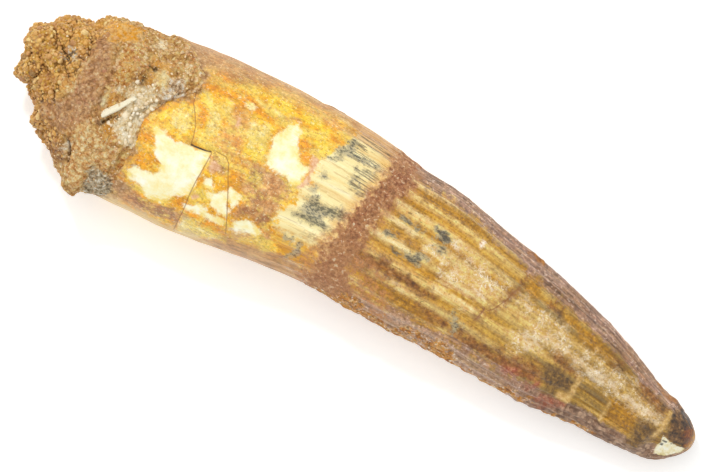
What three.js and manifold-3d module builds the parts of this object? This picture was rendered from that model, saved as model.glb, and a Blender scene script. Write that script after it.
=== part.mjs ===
// A fossil spinosaurid tooth lying on its side: root and crown in one piece, the sandstone
// lump cemented to the broken end of the root, and a splinter of bone set in that lump.
//
// Millimetres. X runs from the lump to the tip, Y across the tooth's width, and Z up from the
// surface it lies on. Angles round a section start at +Y and pass +Z at a quarter turn.
import * as THREE from 'three';
import { mergeVertices } from 'three/addons/utils/BufferGeometryUtils.js';
import { ImprovedNoise } from 'three/addons/math/ImprovedNoise.js';
import Module from 'manifold-3d';

// Sections of the tooth: x, lower edge, upper edge, thickness.
const toothSections = [
  [-52, -15.4, 14.2, 23.6],
  [-42, -15.2, 15.2, 24.4],
  [-33, -14.7, 16.2, 24.8],
  [-22, -13.5, 16.9, 24.6],
  [-12, -11.9, 17.1, 24.0],
  [-3, -11.0, 16.5, 23.4],
  [4, -11.2, 15.4, 22.8],
  [12, -11.2, 14.9, 22.2],
  [20, -10.8, 13.3, 21.0],
  [29, -11.0, 11.7, 19.4],
  [38, -10.8, 9.6, 17.2],
  [46, -10.0, 7.3, 14.9],
  [54, -9.7, 4.1, 12.2],
  [60, -9.1, 1.9, 10.4],
  [66, -7.0, 0.4, 7.6],
];
const roundness = 2.15; // exponent of the sections, 2 being an ellipse
const restingSink = 0.6; // how much of the round belly is worn flat where it rests
const tip = { start: 59, end: 65.8, liftFrom: 48, lift: 2.2 }; // rounds off and rises clear

// The broken end of the root, as places x round the section, every 15 degrees.
const breakEdge = [
  -43.5, -42, -40, -37.5, -36, -39.5, -41.6, -40.6, -41.2, -41.4, -41, -42.5,
  -44.3, -43.2, -42, -43.6, -42.4, -41.2, -42.8, -44, -43, -41.8, -42.6, -43.2,
];
const breakMean = -42;
const squareFrom = -30; // past this place the rings are square to the axis again
const breakFace = { centre: -43.4, rough: 1.6, roughSize: 6, rings: [0.34, 0.67, 1] };
const seam = 0.3; // gap left between neighbouring solids

// How far apart the rings of the tooth lie, which is closest at the sand band and at the tip.
const ringSpacing = { first: -39.5, plain: 2.7, band: 1.1, bandReach: 5, tip: 0.7, tipFrom: 56 };

// Relief of the tooth.
const flutes = { count: 28, depth: 0.5, start: -15, full: -6, fadeFrom: 50, end: 60 };
const sandBand = { from: -2.4, to: 2.2, slope: 0.8, ragged: 1.5, raggedSize: 3.1, height: 0.55 };
const carina = { from: 8, height: 0.3, halfAngle: 0.13 };
const crust = { from: 0, to: 43, fade: 3, height: 0.75, lump: 3.2, halfAngle: 0.32, fadeAngle: 0.1 };
const rootWaves = { height: 0.35, size: 9 };
const tipChip = { at: [62.4, -5.9, 9.1], normal: [0.36, -0.5, 0.79], depth: 0.5 };

// Sections of the sandstone lump: x, lower edge, upper edge, underside, top.
const lumpSections = [
  [-66, 2.2, 4.4, 10.0, 12.5],
  [-65, -2.2, 5.8, 6.0, 16.8],
  [-63, -4.4, 7.4, 3.4, 19.2],
  [-60, -6.2, 9.6, 1.4, 21.2],
  [-57, -10.0, 10.8, 0.2, 22.9],
  [-53.5, -12.4, 13.0, -0.5, 24.4],
  [-50, -14.5, 13.7, -0.6, 25.2],
  [-46.6, -16.6, 14.0, -0.6, 25.4],
  [-44.4, -15.9, 14.6, -0.6, 25.0],
];
const lumpReach = { far: -65.8, near: -45.5, rings: 20, crowding: 1.3, bendFrom: -50, lip: 0.9 };
const nodules = { size: 4.4, height: 1.9, coarseTo: -54, change: 2, fineHeight: 0.7 };
const hollow = { at: [-44.5, 0.6], reach: [5, 6.4], wall: 0.35, depth: 1.1 }; // in the top, by the root

// The splinter: its two ends, widths across, and how deep it is bedded.
const splinter = { foot: [-48.0, -2.7], head: [-44.3, 1.9], wide: 1.3, thick: 1.1, bedded: 0.55 };

const columns = 2 * flutes.count;
const perlin = new ImprovedNoise();

// ---- numbers ----

function smooth(from, to, value) {
  return THREE.MathUtils.smoothstep(value, from, to);
}

// Cubic through the rows of a table whose first column is x.
function rowAt(rows, x) {
  let i = 0;
  while (i < rows.length - 2 && x > rows[i + 1][0]) i += 1;
  const before = rows[Math.max(i - 1, 0)];
  const [a, b] = [rows[i], rows[i + 1]];
  const after = rows[Math.min(i + 2, rows.length - 1)];
  const span = b[0] - a[0];
  const t = THREE.MathUtils.clamp((x - a[0]) / span, 0, 1);
  return a.map((value, k) => {
    const slopeA = (b[k] - before[k]) / (b[0] - before[0]) * span;
    const slopeB = (after[k] - value) / (after[0] - a[0]) * span;
    const rise = b[k] - value;
    return value + t * (slopeA + t * (3 * rise - 2 * slopeA - slopeB + t * (slopeA + slopeB - 2 * rise)));
  });
}

function hash(i, j, k) {
  const wave = Math.sin(i * 127.1 + j * 311.7 + k * 74.7) * 43758.5453;
  return wave - Math.floor(wave);
}

// Rounded lumps packed side by side: 1 on top of a lump, 0 in the creases between.
function lumps(x, y, z, size) {
  const [u, v, w] = [x / size, y / size, z / size];
  let nearest = 9;
  for (let i = Math.floor(u) - 1; i <= Math.floor(u) + 1; i += 1) {
    for (let j = Math.floor(v) - 1; j <= Math.floor(v) + 1; j += 1) {
      for (let k = Math.floor(w) - 1; k <= Math.floor(w) + 1; k += 1) {
        const dx = i + hash(i, j, k) - u;
        const dy = j + hash(j, k, i + 7) - v;
        const dz = k + hash(k, i, j + 13) - w;
        nearest = Math.min(nearest, dx * dx + dy * dy + dz * dz);
      }
    }
  }
  return Math.max(0, 1 - nearest / 0.6);
}

// ---- forms ----

// A point on a rounded section between two edges and two heights.
function sectionPoint(x, low, high, under, top, angle) {
  const power = 2 / roundness;
  const [across, up] = [Math.cos(angle), Math.sin(angle)];
  const y = (low + high) / 2 + (high - low) / 2 * Math.sign(across) * Math.abs(across) ** power;
  const z = (under + top) / 2 + (top - under) / 2 * Math.sign(up) * Math.abs(up) ** power;
  return new THREE.Vector3(x, y, z);
}

function toothPoint(x, angle) {
  const [, low, high, thick] = rowAt(toothSections, x);
  const into = Math.max(0, (x - tip.start) / (tip.end - tip.start));
  const round = Math.sqrt(Math.max(0, 1 - into * into));
  const lift = tip.lift * smooth(tip.liftFrom, tip.end, x);
  const middle = (low + high) / 2;
  const centre = thick / 2 - restingSink + lift;
  const [halfWide, halfThick] = [(high - low) / 2 * round, thick / 2 * round];
  return sectionPoint(x, middle - halfWide, middle + halfWide, centre - halfThick, centre + halfThick, angle);
}

function lumpPoint(x, angle) {
  const [, low, high, under, top] = rowAt(lumpSections, x);
  return sectionPoint(x, low, high, under, top, angle);
}

function breakAt(angle) {
  const place = angle / (2 * Math.PI) * breakEdge.length;
  const i = Math.floor(place) % breakEdge.length;
  return THREE.MathUtils.lerp(breakEdge[i], breakEdge[(i + 1) % breakEdge.length], place - Math.floor(place));
}

// Angle from one of the two edges of the tooth, 0 at the upper one and pi at the lower.
function fromEdge(angle, edge) {
  const turn = Math.abs(angle - edge) % (2 * Math.PI);
  return Math.min(turn, 2 * Math.PI - turn);
}

// 1 between two places along x, falling to 0 over a slope at each.
function between(x, from, to, slope) {
  return smooth(from - slope, from + slope, x) * (1 - smooth(to - slope, to + slope, x));
}

// How far the surface of the tooth stands out at a place, along its normal.
function toothRelief(point, angle, column) {
  const { x, y, z } = point;
  const ragged = sandBand.ragged * perlin.noise(y / sandBand.raggedSize, z / sandBand.raggedSize, 0.5);
  const inBand = between(x + ragged, sandBand.from, sandBand.to, sandBand.slope);
  const beforeTip = 1 - smooth(flutes.fadeFrom, flutes.end, x);
  const enamel = smooth(flutes.start, flutes.full, x);
  const crest = column % 2 === 0 ? 0.5 : -0.5;
  const fluted = flutes.depth * crest * enamel * beforeTip * (1 - inBand);
  const lowerEdge = fromEdge(angle, Math.PI);
  const ridge = Math.exp(-((Math.min(fromEdge(angle, 0), lowerEdge) / carina.halfAngle) ** 2));
  const keel = carina.height * ridge * smooth(flutes.full, carina.from, x) * beforeTip;
  const onCrust = between(x, crust.from, crust.to, crust.fade)
    * (1 - smooth(crust.halfAngle - crust.fadeAngle, crust.halfAngle + crust.fadeAngle, lowerEdge));
  const crumbs = crust.height * lumps(x, y, z, crust.lump) * onCrust;
  const size = rootWaves.size;
  const waves = rootWaves.height * perlin.noise(x / size, y / size, z / size + 0.5) * (1 - enamel);
  const fromBreak = smooth(0, ringSpacing.plain, x - breakAt(angle));
  return (fluted + keel + crumbs + waves + sandBand.height * inBand) * fromBreak;
}

// How far the sandstone stands out: coarse nodules at its far end, finer ones by the root.
function lumpRelief(point, angle) {
  const { x, y, z } = point;
  const coarse = 1 - smooth(nodules.coarseTo - nodules.change, nodules.coarseTo + nodules.change, x);
  const height = THREE.MathUtils.lerp(nodules.fineHeight, nodules.height, coarse);
  const out = Math.hypot((x - hollow.at[0]) / hollow.reach[0], (y - hollow.at[1]) / hollow.reach[1]);
  const sunk = Math.sin(angle) > 0 ? hollow.depth * (1 - smooth(1 - hollow.wall, 1, out)) : 0;
  const bumps = height * (lumps(x, y, z, nodules.size) - 0.5) - sunk;
  return bumps * smooth(0, lumpReach.lip, breakAt(angle) - x);
}

// ---- skins ----

// A closed skin over rings of points that run along +X, with a point that closes each end.
function skin(start, rings, end) {
  const points = [start, ...rings.flat(), end];
  const last = points.length - 1;
  const index = [];
  for (let j = 0; j < columns; j += 1) {
    const next = (j + 1) % columns;
    index.push(0, 1 + next, 1 + j);
    for (let k = 0; k < rings.length - 1; k += 1) {
      const [a, b] = [1 + k * columns + j, 1 + k * columns + next];
      index.push(a, b, a + columns, b, b + columns, a + columns);
    }
    const rim = 1 + (rings.length - 1) * columns;
    index.push(last, rim + j, rim + next);
  }
  const geometry = new THREE.BufferGeometry().setFromPoints(points);
  geometry.setIndex(index);
  geometry.computeVertexNormals();
  return geometry;
}

// Moves every vertex out along its normal, and keeps the skin above the resting plane.
function emboss(geometry, outBy) {
  const { position, normal } = geometry.attributes;
  const point = new THREE.Vector3();
  const direction = new THREE.Vector3();
  for (let i = 0; i < position.count; i += 1) {
    point.fromBufferAttribute(position, i);
    direction.fromBufferAttribute(normal, i);
    point.addScaledVector(direction, outBy(point, i));
    position.setXYZ(i, point.x, point.y, Math.max(point.z, 0));
  }
  return geometry;
}

// Flattens what stands past the plane of the chip at the tip.
function chip(geometry) {
  const { position } = geometry.attributes;
  const normal = new THREE.Vector3(...tipChip.normal).normalize();
  const at = new THREE.Vector3(...tipChip.at).addScaledVector(normal, -tipChip.depth);
  const plane = new THREE.Plane().setFromNormalAndCoplanarPoint(normal, at);
  const point = new THREE.Vector3();
  for (let i = 0; i < position.count; i += 1) {
    point.fromBufferAttribute(position, i);
    if (point.x < tip.start || plane.distanceToPoint(point) < 0) continue;
    plane.projectPoint(point, point);
    position.setXYZ(i, point.x, point.y, point.z);
  }
  return geometry;
}

function columnAngle(column) {
  return column * 2 * Math.PI / columns;
}

function ring(pointAt) {
  return Array.from({ length: columns }, (_, column) => pointAt(columnAngle(column)));
}

// The broken face inside the edge of the break: rings drawn in towards its middle.
function breakRings(shift) {
  const { centre, rough, roughSize } = breakFace;
  const middle = toothPoint(centre, 0).add(toothPoint(centre, Math.PI)).multiplyScalar(0.5);
  const rings = breakFace.rings.map((scale) => ring((angle) => {
    const point = toothPoint(breakAt(angle), angle).lerp(middle, 1 - scale);
    const bump = scale === 1 ? 0 : rough * perlin.noise(point.y / roughSize, point.z / roughSize, 0.5);
    return new THREE.Vector3(point.x + bump + shift, point.y, Math.max(point.z, 0));
  }));
  middle.x += shift;
  return { middle, rings };
}

function spacingAt(x) {
  const { plain, band, bandReach, tipFrom } = ringSpacing;
  const nearBand = Math.exp(-((x / bandReach) ** 2));
  return plain - (plain - band) * nearBand - (plain - ringSpacing.tip) * smooth(tipFrom, tip.end, x);
}

function toothRingPlaces() {
  const places = [];
  for (let x = ringSpacing.first; x < tip.end; x += spacingAt(x)) places.push(x);
  return places;
}

// ---- the three solids ----

function toothGeometry() {
  const { middle, rings } = breakRings(0);
  for (const place of toothRingPlaces()) {
    const along = Math.min(1, (place - breakMean) / (squareFrom - breakMean));
    rings.push(ring((angle) => {
      const x = along < 1 ? THREE.MathUtils.lerp(breakAt(angle), squareFrom, along) : place;
      return toothPoint(x, angle);
    }));
  }
  const blank = skin(middle, rings, toothPoint(tip.end, 0));
  return chip(emboss(blank, (point, i) => {
    const place = Math.floor((i - 1) / columns);
    if (place < breakFace.rings.length || place >= rings.length) return 0;
    const column = (i - 1) % columns;
    return toothRelief(point, columnAngle(column), column);
  }));
}

function lumpGeometry() {
  const { far, near, crowding, bendFrom, lip } = lumpReach;
  const outer = Array.from({ length: lumpReach.rings }, (_, k) => {
    const place = THREE.MathUtils.lerp(far, near, (k / (lumpReach.rings - 1)) ** crowding);
    const bend = smooth(bendFrom, near, place);
    return ring((angle) => lumpPoint(THREE.MathUtils.lerp(place, breakAt(angle) - seam - lip, bend), angle));
  });
  const { middle, rings } = breakRings(-seam);
  const end = lumpPoint(far, 0).add(lumpPoint(far, Math.PI)).multiplyScalar(0.5);
  const blank = skin(end, [...outer, ...rings.reverse()], middle);
  return emboss(blank, (point, i) => {
    const place = Math.floor((i - 1) / columns);
    if (place < 0 || place >= outer.length) return 0;
    return lumpRelief(point, columnAngle((i - 1) % columns));
  });
}

// The stick of bone: a six-sided prism that narrows to both ends, grown by a margin.
function splinterGeometry(height, margin) {
  const { foot, head, wide, thick, bedded } = splinter;
  const [dx, dy] = [head[0] - foot[0], head[1] - foot[1]];
  const half = Math.hypot(dx, dy) / 2 + margin;
  const belly = wide / 2 + margin;
  const end = wide / 3 + margin;
  const outline = new THREE.Shape([
    [-half, -end], [-half / 4, -belly], [half, -end],
    [half - wide / 3, end], [0, belly], [wide / 2 - half, end],
  ].map(([x, y]) => new THREE.Vector2(x, y)));
  const stick = new THREE.ExtrudeGeometry(outline, { depth: thick + 2 * margin, bevelEnabled: false });
  stick.rotateZ(Math.atan2(dy, dx));
  stick.translate((head[0] + foot[0]) / 2, (head[1] + foot[1]) / 2, height - bedded - margin);
  return stick;
}

// ---- cutting the bed of the splinter ----

const wasm = await Module();
wasm.setup();

function toSolid(geometry) {
  const bare = geometry.clone();
  bare.deleteAttribute('normal');
  bare.deleteAttribute('uv');
  const merged = mergeVertices(bare, 1e-4);
  return new wasm.Manifold(new wasm.Mesh({
    numProp: 3,
    vertProperties: merged.attributes.position.array,
    triVerts: new Uint32Array(merged.index.array),
  }));
}

function toGeometry(solid) {
  const mesh = solid.getMesh();
  const geometry = new THREE.BufferGeometry();
  geometry.setAttribute('position', new THREE.BufferAttribute(mesh.vertProperties, 3));
  geometry.setIndex(new THREE.BufferAttribute(mesh.triVerts, 1));
  return geometry;
}

// Height of the sandstone's top under the middle of the splinter.
function lumpTopAtSplinter() {
  const x = (splinter.foot[0] + splinter.head[0]) / 2;
  const point = lumpPoint(x, Math.PI / 2);
  return point.z + lumpRelief(point, Math.PI / 2);
}

function addMesh(group, name, geometry, color, roughness) {
  const mesh = new THREE.Mesh(geometry, new THREE.MeshStandardMaterial({ color, roughness, metalness: 0 }));
  mesh.name = name;
  group.add(mesh);
}

const top = lumpTopAtSplinter();
const bed = toSolid(splinterGeometry(top, seam));
const lump = toGeometry(toSolid(lumpGeometry()).subtract(bed));

const group = new THREE.Group();
addMesh(group, 'tooth', toothGeometry(), 0xc6963f, 0.4);
addMesh(group, 'sandstone_matrix', lump, 0xa77339, 0.95);
addMesh(group, 'bone_splinter', splinterGeometry(top, 0), 0xeae0ba, 0.7);

export default group;
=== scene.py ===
import math

import bpy
import numpy as np
from mathutils import Matrix, Vector


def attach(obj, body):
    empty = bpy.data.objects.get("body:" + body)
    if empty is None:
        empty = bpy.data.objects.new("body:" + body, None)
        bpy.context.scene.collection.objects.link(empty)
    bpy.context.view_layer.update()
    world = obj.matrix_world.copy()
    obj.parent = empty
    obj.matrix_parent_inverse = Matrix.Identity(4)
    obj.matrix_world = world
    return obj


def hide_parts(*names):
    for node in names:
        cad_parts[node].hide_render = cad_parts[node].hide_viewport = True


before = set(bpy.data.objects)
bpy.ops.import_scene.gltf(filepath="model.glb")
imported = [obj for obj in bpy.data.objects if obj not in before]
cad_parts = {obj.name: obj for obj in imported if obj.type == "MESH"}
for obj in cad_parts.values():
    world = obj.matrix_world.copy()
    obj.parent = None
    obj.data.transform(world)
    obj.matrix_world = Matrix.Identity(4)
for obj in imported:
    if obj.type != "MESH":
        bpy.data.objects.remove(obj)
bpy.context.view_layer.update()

# A fossil spinosaurid tooth lying on its side, with sandstone on the broken end of its root.
# Lengths are in millimetres until a mesh is written, which is in metres.
# Angles round the tooth start at +Y and pass the top at a quarter turn.

metres = 0.001


def smooth(start, end, value):
    t = np.clip((value - start) / (end - start), 0, 1)
    return t * t * (3 - 2 * t)


def curveThrough(rows, x):
    # cubic through the rows of a table whose first column is x
    table = np.array(rows, float)
    knots, values = table[:, 0], table[:, 1:]
    slopes = np.empty_like(values)
    slopes[1:-1] = (values[2:] - values[:-2]) / (knots[2:] - knots[:-2])[:, None]
    slopes[0] = (values[1] - values[0]) / (knots[1] - knots[0])
    slopes[-1] = (values[-1] - values[-2]) / (knots[-1] - knots[-2])
    i = np.clip(np.searchsorted(knots, x) - 1, 0, len(knots) - 2)
    span = (knots[i + 1] - knots[i])[:, None]
    t = np.clip((x - knots[i])[:, None] / span, 0, 1)
    rise = values[i + 1] - values[i]
    a, b = slopes[i] * span, slopes[i + 1] * span
    return (values[i] + t * (a + t * (3 * rise - 2 * a - b + t * (a + b - 2 * rise)))).T


def scatter(i, j, k):
    # a number from 0 to 1 that belongs to a cell of a grid; the factors need only be large and unlike
    wave = np.sin(i * 127.1 + j * 311.7 + k * 74.7) * 43758.5453
    return wave - np.floor(wave)


def ripple(points, size, seed=0):
    # smooth noise from -1 to 1, with features about this size
    p = points / size + 31.7 * seed
    cell = np.floor(p)
    f = p - cell
    f = f * f * (3 - 2 * f)
    total = np.zeros(len(p))
    for corner in np.ndindex(2, 2, 2):
        weight = np.prod(np.where(corner, f, 1 - f), axis=1)
        total += weight * scatter(*(cell + corner).T)
    return 2 * total - 1


def roughRipple(points, size, seed=0, octaves=3):
    total = sum(ripple(points, size / 2 ** n, seed + 5 * n) / 1.8 ** n for n in range(octaves))
    return total / 1.6


def lumps(points, size, seed=0):
    # rounded lumps packed side by side: 1 on top of a lump, 0 in the creases between
    p = points / size + 17.3 * seed
    cell = np.floor(p)
    nearest = np.full(len(p), 9.0)
    for step in np.ndindex(3, 3, 3):
        i, j, k = (cell + np.array(step) - 1).T
        at = np.stack([i + scatter(i, j, k), j + scatter(j, k, i + 7), k + scatter(k, i, j + 13)], axis=1)
        nearest = np.minimum(nearest, ((at - p) ** 2).sum(axis=1))
    return np.maximum(0, 1 - nearest / 0.6)


def insideOutline(outline, x, y):
    # distance in from the edge of an outline in the plan, negative outside it
    corners = np.array(outline, float)
    distance = np.full(len(x), 99.0)
    inside = np.zeros(len(x), bool)
    for (ax, ay), (bx, by) in zip(corners, np.roll(corners, -1, axis=0)):
        dx, dy = bx - ax, by - ay
        t = np.clip(((x - ax) * dx + (y - ay) * dy) / (dx * dx + dy * dy), 0, 1)
        distance = np.minimum(distance, np.hypot(x - ax - t * dx, y - ay - t * dy))
        crosses = (ay > y) != (by > y)
        inside ^= crosses & (x < ax + (y - ay) * dx / np.where(dy == 0, 1, dy))
    return np.where(inside, distance, -distance)


def insideAny(outlines, x, y):
    field = np.full(len(x), -6.0)  # far outside
    for outline in outlines:
        field = np.maximum(field, insideOutline(outline, x, y))
    return field


def besideLine(line, x, y):
    # signed distance from an open line, and how far past its ends a place lies
    near = np.full(len(x), 99.0)
    side = np.zeros(len(x))
    past = np.zeros(len(x))
    for n, ((ax, ay), (bx, by)) in enumerate(zip(line[:-1], line[1:])):
        dx, dy = bx - ax, by - ay
        length = math.hypot(dx, dy)
        raw = ((x - ax) * dx + (y - ay) * dy) / length ** 2
        t = np.clip(raw, 0, 1)
        distance = np.hypot(x - ax - t * dx, y - ay - t * dy)
        closer = distance < near
        near = np.where(closer, distance, near)
        side = np.where(closer, np.sign(dx * (y - ay) - dy * (x - ax)), side)
        over = np.zeros(len(x))
        if n == 0:
            over = np.maximum(over, -raw * length)
        if n == len(line) - 2:
            over = np.maximum(over, (raw - 1) * length)
        past = np.where(closer, over, past)
    return near * side, past


def deselectAll():
    if bpy.context.object and bpy.context.object.mode != "OBJECT":
        bpy.ops.object.mode_set(mode="OBJECT")
    bpy.ops.object.select_all(action="DESELECT")


def readPoints(piece):
    flat = np.empty(3 * len(piece.data.vertices))
    piece.data.vertices.foreach_get("co", flat)
    return flat.reshape(-1, 3) / metres


def writePoints(piece, points):
    piece.data.vertices.foreach_set("co", (points * metres).ravel())
    piece.data.update()


def readNormals(piece):
    flat = np.empty(3 * len(piece.data.vertices), np.float32)
    piece.data.vertices.foreach_get("normal", flat)
    return flat.reshape(-1, 3).astype(float)


def storeField(piece, name, values):
    # keeps a number or a vector for each point of the mesh
    values = np.asarray(values, np.float32)
    kind, part = ("FLOAT", "value") if values.ndim == 1 else ("FLOAT_VECTOR", "vector")
    piece.data.attributes.new(name, kind, "POINT").data.foreach_set(part, values.ravel())


def readField(piece, name):
    values = np.empty(len(piece.data.vertices), np.float32)
    piece.data.attributes[name].data.foreach_get("value", values)
    return values.astype(float)


def turnedBlank(name, columns, cuts):
    # a closed bar along X, 1 long and of radius 1, cut into many rings; the cuts are made twice over
    deselectAll()
    bpy.ops.mesh.primitive_cylinder_add(vertices=columns, radius=1, depth=1, end_fill_type="TRIFAN",
                                        rotation=(0, math.pi / 2, 0))
    piece = bpy.context.object
    piece.name = piece.data.name = name
    bpy.ops.object.transform_apply(location=False, rotation=True, scale=False)
    for _ in range(2):
        bpy.ops.object.mode_set(mode="EDIT")
        bpy.ops.mesh.select_mode(type="EDGE")
        bpy.ops.mesh.select_all(action="DESELECT")
        bpy.ops.object.mode_set(mode="OBJECT")
        points = readPoints(piece) * metres
        for edge in piece.data.edges:
            a, b = edge.vertices
            edge.select = abs(points[a][0] - points[b][0]) > 1e-6
        bpy.ops.object.mode_set(mode="EDIT")
        bpy.ops.mesh.subdivide(number_cuts=cuts)
        bpy.ops.object.mode_set(mode="OBJECT")
    points = readPoints(piece) * metres
    along = np.clip(points[:, 0] + 0.5, 0, 1)
    angle = np.arctan2(points[:, 2], points[:, 1])
    fill = np.hypot(points[:, 1], points[:, 2])  # 1 on the skin, 0 in the middle of an end
    return piece, along, angle, fill


def closePole(piece):
    # merges the points that the shaping has brought together at an end
    deselectAll()
    bpy.context.view_layer.objects.active = piece
    piece.select_set(True)
    bpy.ops.object.mode_set(mode="EDIT")
    bpy.ops.mesh.select_all(action="SELECT")
    bpy.ops.mesh.remove_doubles(threshold=1e-6)
    bpy.ops.object.mode_set(mode="OBJECT")
    bpy.ops.object.shade_smooth()


def markFields(outlineSets, x, y, otherX, otherY, upper):
    # how far inside each kind of outline a point lies; the underside has the outlines of another place
    fields = {}
    for name, outlines in outlineSets.items():
        above = insideAny(outlines, x, y)
        below = insideAny(outlines, otherX, otherY)
        fields[name] = below + (above - below) * upper
    return fields


# Sections of the tooth and of the lump, close to those of the solids.
toothSections = [
    (-52, -15.4, 14.2, 23.6), (-42, -15.2, 15.2, 24.4), (-33, -14.7, 16.2, 24.8), (-22, -13.5, 16.9, 24.6),
    (-12, -11.9, 17.1, 24.0), (-3, -11.0, 16.5, 23.4), (4, -11.2, 15.4, 22.8), (12, -11.2, 14.9, 22.2),
    (20, -10.8, 13.3, 21.0), (29, -11.0, 11.7, 19.4), (38, -10.8, 9.6, 17.2), (46, -10.0, 7.3, 14.9),
    (54, -9.7, 4.1, 12.2), (60, -9.1, 1.9, 10.4), (66, -6.8, 0.6, 7.6),
]  # x, lower edge, upper edge, thickness
lumpSections = [
    (-66, 2.2, 4.4, 10.0, 12.5), (-65, -2.2, 5.8, 6.0, 16.8), (-63, -4.4, 7.4, 3.4, 19.2),
    (-60, -6.2, 9.6, 1.4, 21.2), (-57, -10.0, 10.8, 0.2, 22.9), (-53.5, -12.4, 13.0, -0.5, 24.4),
    (-50, -14.5, 13.7, -0.6, 25.2), (-46.6, -16.6, 14.0, -0.6, 25.4), (-44.4, -15.9, 14.6, -0.6, 25.0),
]  # x, lower edge, upper edge, underside, top
breakEdge = [
    -43.5, -42, -40, -37.5, -36, -39.5, -41.6, -40.6, -41.2, -41.4, -41, -42.5,
    -44.3, -43.2, -42, -43.6, -42.4, -41.2, -42.8, -44, -43, -41.8, -42.6, -43.2,
]  # where the root breaks off, every 15 degrees round it
form = {
    "roundness": 2.15,  # exponent of the sections
    "restingSink": 0.6,  # how much of the belly is worn flat
    "tipStart": 59, "tipEnd": 66.1, "tipBlunt": 3.6,  # the tip rounds off along this stretch
    "liftFrom": 48, "lift": 2.2,  # how far the tip stands off the ground
    "flutes": 28,
}


def sectionPoints(x, low, high, under, top, angle, fill):
    power = 2 / form["roundness"]
    across, up = np.cos(angle), np.sin(angle)
    y = (low + high) / 2 + fill * (high - low) / 2 * np.sign(across) * np.abs(across) ** power
    z = (under + top) / 2 + fill * (top - under) / 2 * np.sign(up) * np.abs(up) ** power
    return np.stack([x, y, z], axis=1)


def toothSurface(x, angle, fill):
    low, high, thick = curveThrough(toothSections, x)
    into = np.clip((x - form["tipStart"]) / (form["tipEnd"] - form["tipStart"]), 0, 1)
    fill = fill * np.sqrt(1 - into ** form["tipBlunt"])
    lift = form["lift"] * smooth(form["liftFrom"], form["tipEnd"], x)
    under = lift - form["restingSink"]
    return sectionPoints(x, low, high, under, under + thick, angle, fill)


def breakAt(angle):
    steps = len(breakEdge)
    turns = np.degrees(angle) % 360 / (360 / steps)
    return np.interp(turns, range(steps + 1), breakEdge + breakEdge[:1])


def bareRim(angle):
    # 1 over the top, where the root shows right up to the hollow in the lump
    return np.interp(np.degrees(angle) % 360, [52, 72, 110, 135], [0, 1, 1, 0])


def evenPlaces(along, surfaceAt, start, end):
    # places between two ends so that rings lie evenly over the surface
    samples = 900
    x = np.linspace(start, end, samples)
    edge = surfaceAt(x, np.full(samples, 0.0), np.ones(samples))
    crown = surfaceAt(x, np.full(samples, math.pi / 2), np.ones(samples))
    middle = surfaceAt(x, np.full(samples, 0.0), np.zeros(samples))
    radius = (np.linalg.norm(edge - middle, axis=1) + np.linalg.norm(crown - middle, axis=1)) / 2
    steps = np.hypot(np.diff(x), np.diff(radius))
    travelled = np.concatenate([[0], np.cumsum(steps)])
    return np.interp(along * travelled[-1], travelled, x)


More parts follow.
